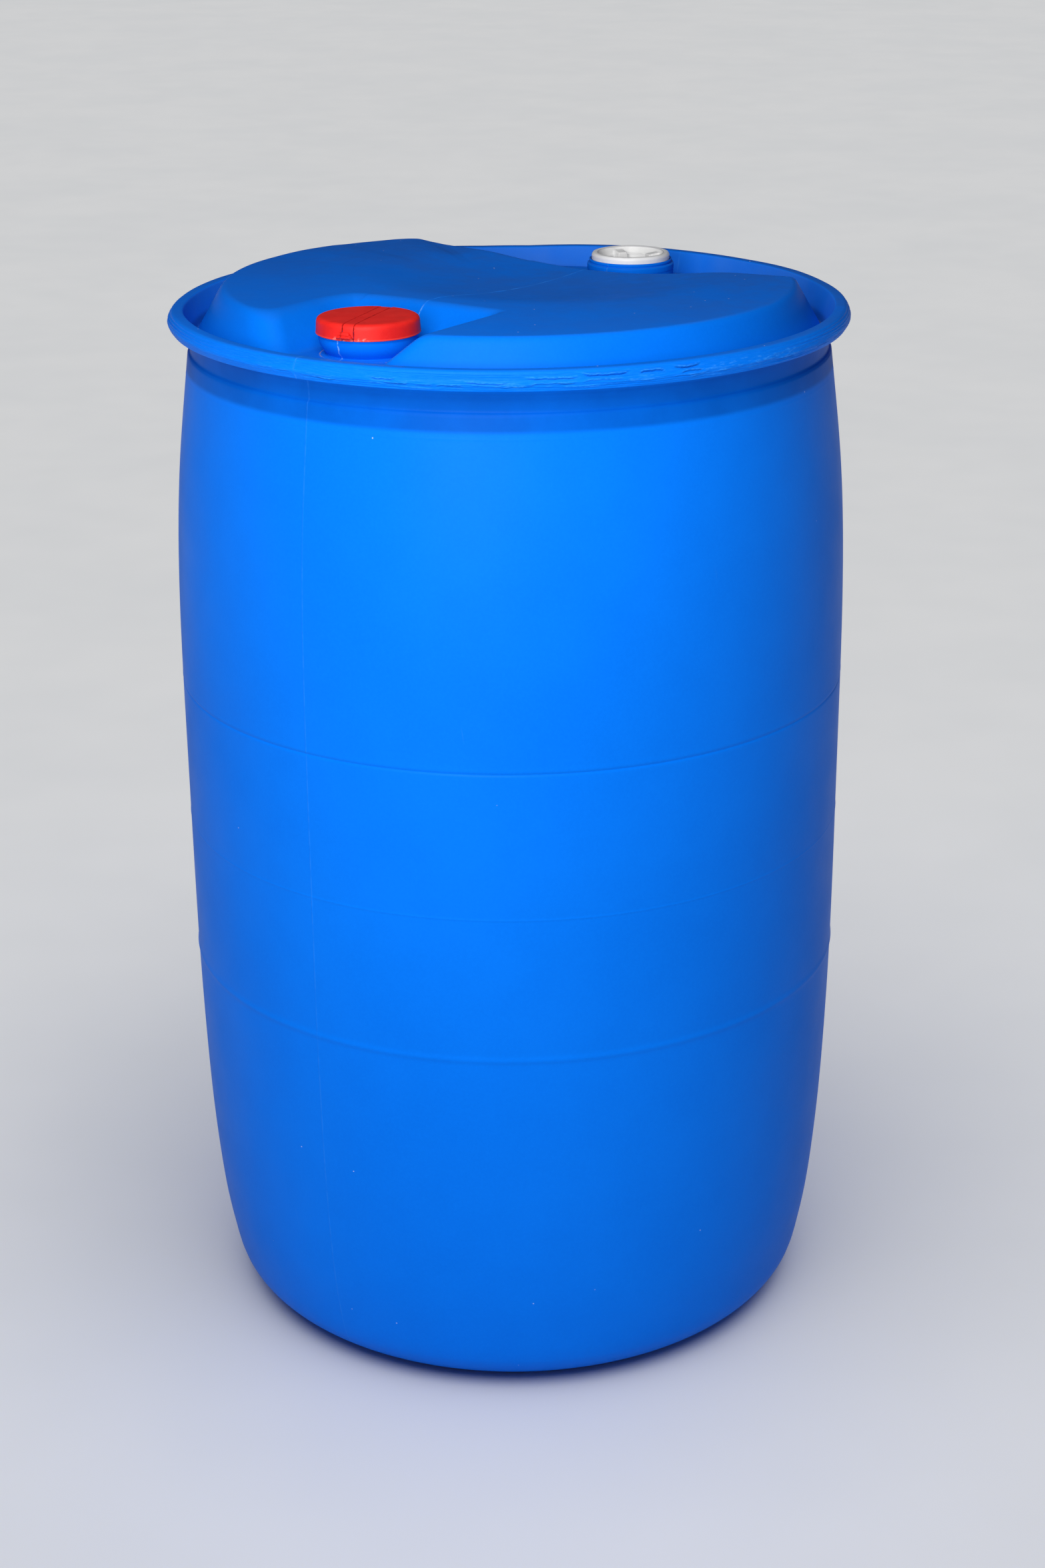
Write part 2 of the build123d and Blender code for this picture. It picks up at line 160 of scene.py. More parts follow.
# ---------------------------------------------------------------------------
# the head: its height at any point inside the ring
# ---------------------------------------------------------------------------
RING_WALL = ([269.0, 269.8, 270.6, 276.9], [887.0, 888.2, 890.0, 913.8])
_sag = Waves(3, 260.0)


RIM_AZ = [-180.0, -178.0, 80.0, 100.0, 106.0, 108.5, 110.5, 113.0, 116.0, 120.0, 124.0, 128.0, 132.0, 141.0, 150.0, 160.0, 172.0, 180.0]
RIM_DROP = [0.0, 0.0, 0.0, 4.0, 5.0, 4.4, 3.2, 2.5, 2.1, 2.1, 1.8, 1.6, 0.8, 0.4, 0.8, 0.4, 0.0, 0.0]


def head_height(x, y):
    r = np.hypot(x, y)
    az = np.degrees(np.arctan2(y, x))
    u = x * U[0] + y * U[1]
    v = x * V[0] + y * V[1]
    cone = HEAD_Z + (PANEL_R - r) * SLOPE
    # front recess
    hs = np.clip((u + 300) * 0, 0, 0)
    back = 149.0 - u
    side_l = -v - 47.0
    side_r = v - 47.0
    hh = np.maximum(np.maximum(back, side_l), side_r)
    kl = 6.0 + 40.0 * np.clip(hh / 30.0, 0, 1.3)
    kr = 3.0 + 7.0 * np.clip(hh / 30.0, 0, 1.3)
    d = smax(smax(back, side_l, kl), side_r, kr)
    z_front = FRONT_FLOOR + smax(d, hs, 4.5)
    # rear recess, with its flared wing
    d1 = u + 145.6 + 0.01743 * np.abs(np.minimum(v, 0.0)) ** 1.406
    d2 = (u + 108.0) * 0.977 + (v - 60.0) * 0.214 + 40.0
    dr = smax(d1, d2, 4.0)
    z_rear = REAR_FLOOR + smax(dr, hs, 5.0)
    rec = np.minimum(z_front, z_rear)
    k = np.where(u > 0, np.where(v < 0, 36.0, 14.0), 7.0)
    side = smin(cone, rec, k)
    ground = np.minimum(cone, np.where(u > 0, FRONT_FLOOR, REAR_FLOOR))
    side = smax(side, ground, 1.5)
    side = smax(side, hs + 888.0, 2.4)
    # plateau with its sag
    q = (x - U[0] * -60.0) ** 2 + (y - U[1] * -60.0) ** 2
    dish = 921.0 + q / 2056.0
    top = smin(dish, hs + HEAD_Z - np.interp(az, RIM_AZ, RIM_DROP), 2.5) + 0.18 * _sag(x, y)
    z = smin(side, top, np.where(v < -60.0, 8.0, 5.5))
    # the ring's inner wall
    wall = np.where(r < 269.0, 800.0, np.interp(r, *RING_WALL))
    z = np.where(r < 268.0, z, smax(z, wall, 1.6))
    # fillets round the feet of the necks
    for c, f in ((FRONT_C, FRONT_FLOOR), (REAR_C, REAR_FLOOR)):
        rn = np.hypot(x - c[0], y - c[1])
        z = z + 1.5 * np.exp(-((rn - 35.5) / 2.8) ** 2) * (rn > 20) * np.exp(-np.abs(z - f) / 6.0)
    return z


# ---------------------------------------------------------------------------
# mesh helpers
# ---------------------------------------------------------------------------
def make_object(name, verts, faces_list, attrs=None, smooth=True):
    """faces_list: arrays of quads or triangles."""
    me = bpy.data.meshes.new(name)
    nv = len(verts)
    me.vertices.add(nv)
    me.vertices.foreach_set("co", (np.asarray(verts, np.float64) * MM).astype(np.float32).ravel())
    loops, starts, totals = [], [], []
    pos = 0
    for f in faces_list:
        f = np.asarray(f, np.int32)
        if not len(f):
            continue
        k = f.shape[1]
        loops.append(f.ravel())
        starts.append(pos + np.arange(len(f)) * k)
        totals.append(np.full(len(f), k))
        pos += len(f) * k
    loops = np.concatenate(loops)
    starts = np.concatenate(starts)
    totals = np.concatenate(totals)
    me.loops.add(len(loops))
    me.loops.foreach_set("vertex_index", loops.astype(np.int32))
    me.polygons.add(len(starts))
    me.polygons.foreach_set("loop_start", starts.astype(np.int32))
    try:
        me.polygons.foreach_set("loop_total", totals.astype(np.int32))
    except Exception:
        pass
    me.update(calc_edges=True)
    me.validate()
    if smooth:
        me.polygons.foreach_set("use_smooth", np.ones(len(me.polygons), bool))
    for key, val in (attrs or {}).items():
        a = me.attributes.new(key, "FLOAT", "POINT")
        a.data.foreach_set("value", np.asarray(val, np.float32))
    ob = bpy.data.objects.new(name, me)
    bpy.context.scene.collection.objects.link(ob)
    return ob


def revolve_grid(rz, n, centre=(0, 0), radial=None, closed=True):
    """Quads round an axis through centre. rz rows; radial(theta, r, z) may change r."""
    th = np.arange(n) * 2 * math.pi / n
    R = np.repeat(rz[:, 0][:, None], n, 1)
    Z = np.repeat(rz[:, 1][:, None], n, 1)
    T = np.repeat(th[None, :], len(rz), 0)
    if radial is not None:
        R, Z = radial(T, R, Z)
    verts = np.stack([centre[0] + R * np.cos(T), centre[1] + R * np.sin(T), Z], -1).reshape(-1, 3)
    m = len(rz)
    rows = range(m) if closed else range(m - 1)
    i = np.array(list(rows))[:, None]
    j = np.arange(n)[None, :]
    a = i * n + j
    b = i * n + (j + 1) % n
    c = ((i + 1) % m) * n + (j + 1) % n
    d = ((i + 1) % m) * n + j
    return verts, np.stack([a, b, c, d], -1).reshape(-1, 4)


# ---------------------------------------------------------------------------
# the drum's outer skin
# ---------------------------------------------------------------------------
FINE = np.array([0.05, 0.10, 0.16, 0.23, 0.32])
OUT_STEP = 1.0
IN_STEP = 1.0 / 3.0


def columns(stepdeg):
    base = np.arange(0, 360, stepdeg)
    keep = [b for b in base if min(abs((b % 180)), abs(180 - (b % 180))) > 0.34 or abs(b % 180) < 1e-6]
    extra = []
    for c in (0.0, 180.0):
        for f in FINE:
            extra += [(c + f) % 360, (c - f) % 360]
    return np.array(sorted(set(np.round(np.concatenate([keep, extra]), 5))))


colA = columns(OUT_STEP)
colB = columns(IN_STEP)
thA = np.radians(colA) + PARTING
thB = np.radians(colB) + PARTING
nA, nB = len(colA), len(colB)

dense = curve_through(BARREL, 6000)
zr_order = np.argsort(dense[:, 1])


def barrel_r(z):
    return np.interp(z, dense[zr_order, 1], dense[zr_order, 0])


_wave1 = Waves(11, 420.0, 3)
_wave2 = Waves(12, 120.0, 3)
_seamw = Waves(13, 60.0, 1, n=12, octaves=2)
TILT = np.array([0.0, 0.0])   # how the witness lines lean, per millimetre along X and Y


def barrel_relief(x, y, z, sgn_v, dist_v, on_front):
    """Radial relief of the barrel in millimetres at a point on the smooth outline."""
    zt = z + TILT[0] * x + TILT[1] * y
    d = np.zeros_like(z)
    d -= 0.62 * np.exp(-((zt - 590.0) / 1.15) ** 2)
    d += 0.16 * np.exp(-((zt - 593.2) / 1.6) ** 2)
    d += 0.26 * np.exp(-((zt - 463.5) / 0.8) ** 2)
    d += 0.75 * np.exp(-((zt - 336.0) / 2.7) ** 2)
    d += 0.10 * np.exp(-((zt - 859.0) / 0.7) ** 2)
    d += 0.16 * _wave1(x, y, z) + 0.05 * _wave2(x, y, z * 0.4)
    # parting line: a thin raised bead with a faint step across it
    w = 0.55
    d += 0.16 * np.exp(-(dist_v / w) ** 2) * (0.75 + 0.4 * _seamw(z))
    d += 0.05 * np.tanh(sgn_v / 1.2) * np.exp(-(dist_v / 30.0) ** 2)
    return d


# rows of the barrel, foot to shoulder
zz = np.concatenate([
    np.arange(30.0, 876.0, 8.0), 590 + np.array([-6, -4, -3, -2.2, -1.5, -0.9, -0.4, 0, 0.4, 0.9, 1.5, 2.2, 3, 4, 5.5, 7]),
    463.5 + np.array([-4, -2, -1.2, -0.6, 0, 0.6, 1.2, 2, 4]),
    336 + np.array([-9, -7, -5.5, -4.2, -3.2, -2.2, -1.1, 0, 1.1, 2.2, 3.2, 4.2, 5.5, 7, 9]),
    859 + np.array([-3, -1.4, -0.7, 0, 0.7, 1.4, 3]), [866, 870, 873, 875, 876.7]])
zz = np.array(sorted(zz))
zz = zz[np.concatenate([[True], np.diff(zz) > 0.3])]
foot = dense[dense[:, 1] < 29.0]
foot = resample(foot, 2.6)
barrel_rows = np.vstack([foot, np.stack([barrel_r(zz), zz], 1)])
base_rows = resample(chaikin([(30, 12), (60, 11.9), (120, 11.4), (160, 10), (178, 4.6), (192, 0.25), (197, 0.0), (212, 0.0), (226, 0.0), (229, 0.0)], 2), 4.0)
rowsA = np.vstack([base_rows[:-1], barrel_rows])
nbase = len(base_rows) - 1

ring_line = soften(RING, 0.7, 4)
ring_rows = resample(ring_line, 0.45)[1:]
# rows inside the ring, by radius
rr_in = np.concatenate([
    np.linspace(276.6, 270.6, 18), np.linspace(270.2, 267.0, 8), np.linspace(266.0, 242.0, 25),
    np.linspace(240.8, 233.0, 7), np.linspace(231.6, 104.0, 86)])
rr_c = np.concatenate([np.linspace(101.0, 60.0, 9), np.linspace(54.0, 6.0, 9)])


def polar_pts(rz, th):
    R = np.repeat(rz[:, 0][:, None], len(th), 1)
    Z = np.repeat(rz[:, 1][:, None], len(th), 1)
    T = np.repeat(th[None, :], len(rz), 0)
    return R, Z, T


def seam_dist(x, y):
    return x * V[0] + y * V[1]


def strip_quads(i0, i1, n):
    """Rows i0 and i1 are first indices of two rows of n vertices."""
    j = np.arange(n)
    k = (j + 1) % n
    return np.stack([i0 + j, i0 + k, i1 + k, i1 + j], 1)


verts, quads, tris = [], [], []
scar_and_lip_highlight_attr, edge_attr, cut_shade_attr = [], [], []

# section A: base and barrel
R, Z, T = polar_pts(rowsA, thA)
X, Y = R * np.cos(T), R * np.sin(T)
sv = seam_dist(X, Y)
relief = barrel_relief(X, Y, Z, sv, np.abs(sv), None)
fade = step(2.0, 30.0, Z) * (1 - 0.0 * Z)
relief = relief * fade
relief[:nbase] = 0
R2 = R + relief
vA = np.stack([R2 * np.cos(T), R2 * np.sin(T), Z], -1)
verts.append(vA.reshape(-1, 3))
scar_and_lip_highlight_attr.append(np.zeros(vA.shape[:2]).ravel())
edge_attr.append(np.zeros(vA.shape[:2]).ravel())
cut_shade_attr.append(np.zeros(vA.shape[:2]).ravel())
for i in range(len(rowsA) - 1):
    quads.append(strip_quads(i * nA, (i + 1) * nA, nA))
off = len(rowsA) * nA

# section B1: the lifting ring, with its mould striations and its scars
ringR, ringZ, ringT = polar_pts(ring_rows, thB)
RX, RY = ringR * np.cos(ringT), ringR * np.sin(ringT)
front_ang = np.arctan2(RX, -RY)                 # 0 at -Y
arc = front_ang * 290.0
tang = np.gradient(ring_rows, axis=0)
nrm = np.stack([tang[:, 1], -tang[:, 0]], 1)
nrm /= np.linalg.norm(nrm, axis=1)[:, None] + 1e-9
outer_face = step(284.6, 286.5, ring_rows[:, 0]) * (1 - step(912.5, 914.6, ring_rows[:, 1])) * step(898.4, 899.6, ring_rows[:, 1])
_str1 = Waves(21, 1.9, 1, n=14)
_str2 = Waves(22, 150.0, 2, n=10)
_rag = Waves(23, 7.0, 2, n=40, octaves=2)
_rag2 = Waves(24, 26.0, 2, n=30)
stri = 0.13 * _str1(ringZ + 0.25 * np.sin(front_ang * 3.0)) * (0.7 + 0.3 * _str2(arc, ringZ * 8))
lower = step(899.2, 900.3, ringZ) * (1 - step(906.5, 910.0, ringZ))
where = 0.25 + 0.75 * step(-0.75, -0.1, front_ang) * (1 - step(1.15, 1.5, front_ang))
where = np.maximum(where, 0.5 * step(2.0, 2.4, np.abs(front_ang)))
rag = _rag(arc * 0.16, ringZ * 1.9)
scar_and_lip_highlight = np.clip((rag + 0.5 * _rag2(arc * 0.5, ringZ * 3) - 0.75) / 0.5, 0, 1) * lower * where
dent = np.clip((-rag + 0.4 * _rag2(arc * 0.5 + 400, ringZ * 3) - 0.75) / 0.4, 0, 1) * lower * where
lift = (stri + 0.20 * scar_and_lip_highlight - 0.25 * dent) * outer_face[:, None]
# torn flaps left by a clamp: curved cuts, each with a raised lip beside it
rng = np.random.RandomState(77)
cuts = np.zeros_like(lift)
lips = np.zeros_like(lift)
spots = [
    (0.110, 908.6, 19.0, 0.3, 0.95), (0.112, 904.6, 15.0, -0.5, 0.55), (0.257, 909.6, 18.0, 1.3, 1.0), (0.250, 906.0, 15.0, -0.7, 0.60),
    (0.387, 910.2, 10.0, -1.2, 1.0), (0.492, 910.0, 11.0, 1.4, 1.1), (0.505, 907.0, 9.0, -1.0, 0.8), (-0.342, 906.1, 9.0, 0.9, 0.85),
    (-0.305, 902.9, 9.0, 0.7, 0.85), (-0.515, 901.8, 8.5, 0.6, 0.7), (-0.061, 905.4, 15.0, 0.4, 0.7), (-0.16, 903.0, 10.0, -0.5, 0.6), (0.02, 902.0, 12.0, 0.4, 0.5)]
a_ = -0.72
while a_ < 1.25:
    spots.append((a_, rng.uniform(901.2, 904.6), rng.uniform(3.0, 11.0), rng.uniform(-0.7, 0.7), rng.uniform(0.22, 0.5)))
    a_ += rng.uniform(0.06, 0.13)
for sa, sz, sl, bend, sd in spots:
    da = (front_ang - sa) * 290.0
    near = np.abs(da) < sl * 1.5
    wob = 0.16 * np.sin(da * 0.5 + sz) + 0.10 * np.sin(da * 1.3 + 2 * sz) + bend * np.clip(np.abs(da) / sl, 0, 1.3) ** 4
    off_z = np.where(near, ringZ - (sz + wob), 99.0)
    along = 1 - step(sl * 0.85, sl * 1.15, np.abs(da))
    cuts += along * sd * np.exp(-(off_z / 0.42) ** 2)
    lips += along * sd * np.exp(-((off_z - 0.95) / 0.55) ** 2)
lift = lift + (0.6 * lips - 0.95 * cuts) * outer_face[:, None]
flecks = np.clip((_rag(arc * 0.9 + 77, ringZ * 2.5) - 0.9) / 0.4, 0, 1) * step(0.50, 0.60, front_ang) * (1 - step(0.82, 0.95, front_ang)) * step(903.0, 905.0, ringZ) * (1 - step(909.5, 911.0, ringZ))
# the raised lips beside the cuts go into this mask so that they show paler: a painted highlight
scar_and_lip_highlight = np.clip(0.45 * scar_and_lip_highlight + np.clip(lips * 0.9, 0, 0.85) + 1.3 * flecks, 0, 1)
# a shallow turned groove just under the ring's top edge
lift = lift - 0.22 * np.exp(-((ringZ - 912.4) / 0.35) ** 2) * (ringR > 285.0)
# the notch where the mould halves meet
sv = seam_dist(RX, RY)
lift -= 0.85 * np.exp(-((sv + 0.4) / 0.5) ** 2) * outer_face[:, None] * step(901.5, 903.5, ringZ)
lift += 0.18 * np.exp(-((sv - 0.6) / 0.6) ** 2) * (outer_face[:, None] > 0.1)
RR = ringR + lift * nrm[:, 0][:, None]
ZZ = ringZ + lift * nrm[:, 1][:, None] + 0.25 * _rag2(arc + 900, ringZ * 0) * lower * (ringR > 285) * 0.6
vB1 = np.stack([RR * np.cos(ringT), RR * np.sin(ringT), ZZ], -1)
ob1 = off
verts.append(vB1.reshape(-1, 3))
# scar mask: scraped wear plus a painted highlight along the raised flap lips
scar_and_lip_highlight_attr.append((np.clip(scar_and_lip_highlight * 1.2, 0, 1) * outer_face[:, None]).ravel())
edge_attr.append(np.repeat(outer_face[:, None], nB, 1).ravel())
# painted shade: the cut grooves get a darkening mask
cut_shade_attr.append(np.clip(cuts * 1.1 * outer_face[:, None], 0, 1).ravel())

# join barrel columns to the finer ring columns
last = off - nA


def widen(coarse0, fine0, cc, fc, flip=False):
    out_t = []
    idx = {round(float(f), 5): i for i, f in enumerate(fc)}
    n_c, n_f = len(cc), len(fc)
    for k in range(n_c):
        a, b = coarse0 + k, coarse0 + (k + 1) % n_c
        i0 = idx[round(float(cc[k]), 5)]
        i1 = idx[round(float(cc[(k + 1) % n_c]), 5)]
        m = (i1 - i0) % n_f
        fs = [fine0 + (i0 + t) % n_f for t in range(m + 1)]
        h = m // 2
        for t in range(h):
            out_t.append((a, fs[t + 1], fs[t]))
        out_t.append((a, b, fs[h]))
        for t in range(h, m):
            out_t.append((b, fs[t + 1], fs[t]))
    t = np.array(out_t, np.int32)
    return t[:, ::-1] if flip else t


tris.append(widen(last, ob1, colA, colB))
for i in range(len(ring_rows) - 1):
    quads.append(strip_quads(ob1 + i * nB, ob1 + (i + 1) * nB, nB))
off = ob1 + len(ring_rows) * nB

# section B2: the head
HR = np.repeat(rr_in[:, None], nB, 1)
HT = np.repeat(thB[None, :], len(rr_in), 0)
HX, HY = HR * np.cos(HT), HR * np.sin(HT)
HZ = head_height(HX, HY)
sv = seam_dist(HX, HY)
seam_amp = 0.28 * (0.8 + 0.4 * _seamw(HR)) * (HR < 268)
HZ = HZ + seam_amp * np.exp(-(sv / 0.6) ** 2)
# witness ring of the neck's mould insert
rn = np.hypot(HX - FRONT_C[0], HY - FRONT_C[1])
HZ = HZ + 0.14 * np.exp(-((rn - 62.0) / 0.8) ** 2) * (HZ < 931)
vB2 = np.stack([HX, HY, HZ], -1)
ob2 = off
verts.append(vB2.reshape(-1, 3))
scar_and_lip_highlight_attr.append(np.zeros(HZ.size))
edge_attr.append(np.zeros(HZ.size))
cut_shade_attr.append(np.zeros(HZ.size))
quads.append(strip_quads(ob2 - nB, ob2, nB))
head_first_quad = sum(len(q) for q in quads)
for i in range(len(rr_in) - 1):
    quads.append(strip_quads(ob2 + i * nB, ob2 + (i + 1) * nB, nB))
off = ob2 + len(rr_in) * nB

# section C: the middle of the head
CR = np.repeat(rr_c[:, None], nA, 1)
CT = np.repeat(thA[None, :], len(rr_c), 0)
CX, CY = CR * np.cos(CT), CR * np.sin(CT)
CZ = head_height(CX, CY)
CZ = CZ + 0.28 * (0.8 + 0.4 * _seamw(CR)) * np.exp(-(seam_dist(CX, CY) / 0.6) ** 2)
oc = off
verts.append(np.stack([CX, CY, CZ], -1).reshape(-1, 3))
scar_and_lip_highlight_attr.append(np.zeros(CZ.size))
edge_attr.append(np.zeros(CZ.size))
cut_shade_attr.append(np.zeros(CZ.size))
tris.append(widen(oc, off - nB, colA, colB, flip=True))
for i in range(len(rr_c) - 1):
    quads.append(strip_quads(oc + i * nA, oc + (i + 1) * nA, nA))
off = oc + len(rr_c) * nA
# poles: middle of the head and of the base
verts.append(np.array([[0, 0, float(head_height(np.array([0.0]), np.array([0.0]))[0])], [0, 0, 12.0]]))
scar_and_lip_highlight_attr.append(np.zeros(2))
edge_attr.append(np.zeros(2))
cut_shade_attr.append(np.zeros(2))
top_pole, base_pole = off, off + 1
j = np.arange(nA)
k = (j + 1) % nA
lastc = oc + (len(rr_c) - 1) * nA
tris.append(np.stack([lastc + j, lastc + k, np.full(nA, top_pole)], 1))
tris.append(np.stack([k, j, np.full(nA, base_pole)], 1))
off += 2

# ---------------------------------------------------------------------------
# the inner skin, coarser
# ---------------------------------------------------------------------------
nI = 180
thI = np.arange(nI) * 2 * math.pi / nI + PARTING


def under_head(x, y):
    z = head_height(x, y) - 4.0
    for a in np.arange(0, 2 * math.pi, math.pi / 8):
        for q in (1.6, 3.0, 3.9):
            zz_ = head_height(x + q * math.cos(a), y + q * math.sin(a))
            z = np.minimum(z, zz_ - math.sqrt(16.0 - q * q))
    return z


in_r = np.concatenate([np.linspace(262.0, 236.0, 14), np.linspace(231.0, 96.0, 40), np.linspace(88.0, 8.0, 9)])
IR = np.repeat(in_r[:, None], nI, 1)
IT = np.repeat(thI[None, :], len(in_r), 0)
IX, IY = IR * np.cos(IT), IR * np.sin(IT)
IZ = under_head(IX, IY)
side_rows = [(264.8, 884.2), (266.3, 884.0), (270.5, 875.0), (272.0, 866.0)]
zi = np.concatenate([np.arange(850, 60, -30.0), [50.0, 36.0]])
side_rows += [(float(barrel_r(z)) - 3.6, float(z)) for z in zi]
side_rows += [(257.0, 27.0), (248.0, 17.5), (238.0, 9.5), (232.0, 6.0), (225.0, 4.4), (210.0, 4.2), (196.5, 4.2), (188.0, 6.5), (176.0, 10.3), (161.5, 14.2), (110.0, 15.6), (50.0, 16.1)]
side_rows = np.array(side_rows)
SR, SZ, ST = polar_pts(side_rows[::-1], thI)
inner = np.concatenate([np.stack([SR * np.cos(ST), SR * np.sin(ST), SZ], -1), np.stack([IX, IY, IZ], -1)])
oi = off
verts.append(inner.reshape(-1, 3))
nin = inner.shape[0]
scar_and_lip_highlight_attr.append(np.zeros(nin * nI))
edge_attr.append(np.zeros(nin * nI))
cut_shade_attr.append(np.zeros(nin * nI))
inner_quads = []
for i in range(nin - 1):
    inner_quads.append(strip_quads(oi + i * nI, oi + (i + 1) * nI, nI)[:, ::-1])
off = oi + nin * nI
verts.append(np.array([[0, 0, float(under_head(np.array([0.0]), np.array([0.0]))[0])], [0, 0, 16.2]]))
scar_and_lip_highlight_attr.append(np.zeros(2))
edge_attr.append(np.zeros(2))
cut_shade_attr.append(np.zeros(2))
ji = np.arange(nI)
ki = (ji + 1) % nI
li = oi + (nin - 1) * nI
tris.append(np.stack([li + ki, li + ji, np.full(nI, off)], 1))
tris.append(np.stack([oi + ji, oi + ki, np.full(nI, off + 1)], 1))

verts = np.concatenate(verts)
# the ring has settled a little at the back and at the left
RING_AZ = [0, 15, 25, 32, 40, 60, 70, 77, 82, 86, 95, 100, 110, 155, 165, 172, 178, 187, 196, 360]
RING_DZ = [0, 0, 0.6, 0.5, 0, 0, -0.5, -1.3, -2.2, -3.0, -3.0, -2.4, -1.9, -1.5, -1.9, -2.4, -2.2, -1.0, 0, 0]
vr = np.hypot(verts[:, 0], verts[:, 1])
vaz = np.degrees(np.arctan2(verts[:, 1], verts[:, 0])) % 360.0
settle = np.interp(vaz, RING_AZ, RING_DZ) * step(269.0, 274.0, vr) * np.clip((verts[:, 2] - 882.0) / 26.0, 0, 1)
verts[:, 2] += settle
all_quads = np.concatenate(quads + inner_quads)
all_tris = np.concatenate(tris)
HOLE_R = 31.5
is_top = verts[:, 2] > 880
inside = np.zeros(len(verts), bool)
for c in (FRONT_C, REAR_C):
    inside |= (np.hypot(verts[:, 0] - c[0], verts[:, 1] - c[1]) < HOLE_R) & is_top
drop = inside[all_quads].any(1)
kept = all_quads[~drop]
edge_of_hole = np.zeros(len(verts), bool)
edge_of_hole[all_quads[drop].ravel()] = True
edge_of_hole &= ~inside
for c in (FRONT_C, REAR_C):
    dxy = verts[:, :2] - c
    dd = np.hypot(dxy[:, 0], dxy[:, 1])
    sel = edge_of_hole & is_top & (dd < HOLE_R + 14)
    verts[sel, :2] = c + dxy[sel] / dd[sel][:, None] * HOLE_R
used = np.zeros(len(verts), bool)
used[kept.ravel()] = True
used[all_tris.ravel()] = True
remap = np.cumsum(used) - 1
scar_and_lip_highlight_all = np.concatenate(scar_and_lip_highlight_attr)[used]
edge_all = np.concatenate(edge_attr)[used]
cut_shade_all = np.concatenate(cut_shade_attr)[used]
drum = make_object("drum_body", verts[used], [remap[kept], remap[all_tris]], {"scar_and_lip_highlight": scar_and_lip_highlight_all, "band": edge_all, "cut": cut_shade_all})

# close the two holes between the skins; the neck walls hide the joints
bm = bmesh.new()
bm.from_mesh(drum.data)
open_edges = [e for e in bm.edges if e.is_boundary]
groups = []
left = set(open_edges)
while left:
    e = left.pop()
    grp = [e]
    stack = [e]
    while stack:
        q = stack.pop()
        for v_ in q.verts:
            for o in v_.link_edges:
                if o in left:
                    left.remove(o)
                    grp.append(o)
                    stack.append(o)
    groups.append(grp)
print("open loops:", [len(g) for g in groups])
by_neck = {0: [], 1: []}
for g in groups:
    m = sum((e.verts[0].co for e in g), Vector()) / len(g)
    by_neck[0 if m.x < 0 else 1].append(g)
for key, gs in by_neck.items():
    if len(gs) == 2:
        bmesh.ops.bridge_loops(bm, edges=gs[0] + gs[1])
print("left open:", sum(1 for e in bm.edges if e.is_boundary), "faces:", len(bm.faces))
for f in bm.faces:
    f.smooth = True
bm.normal_update()
bm.to_mesh(drum.data)
bm.free()


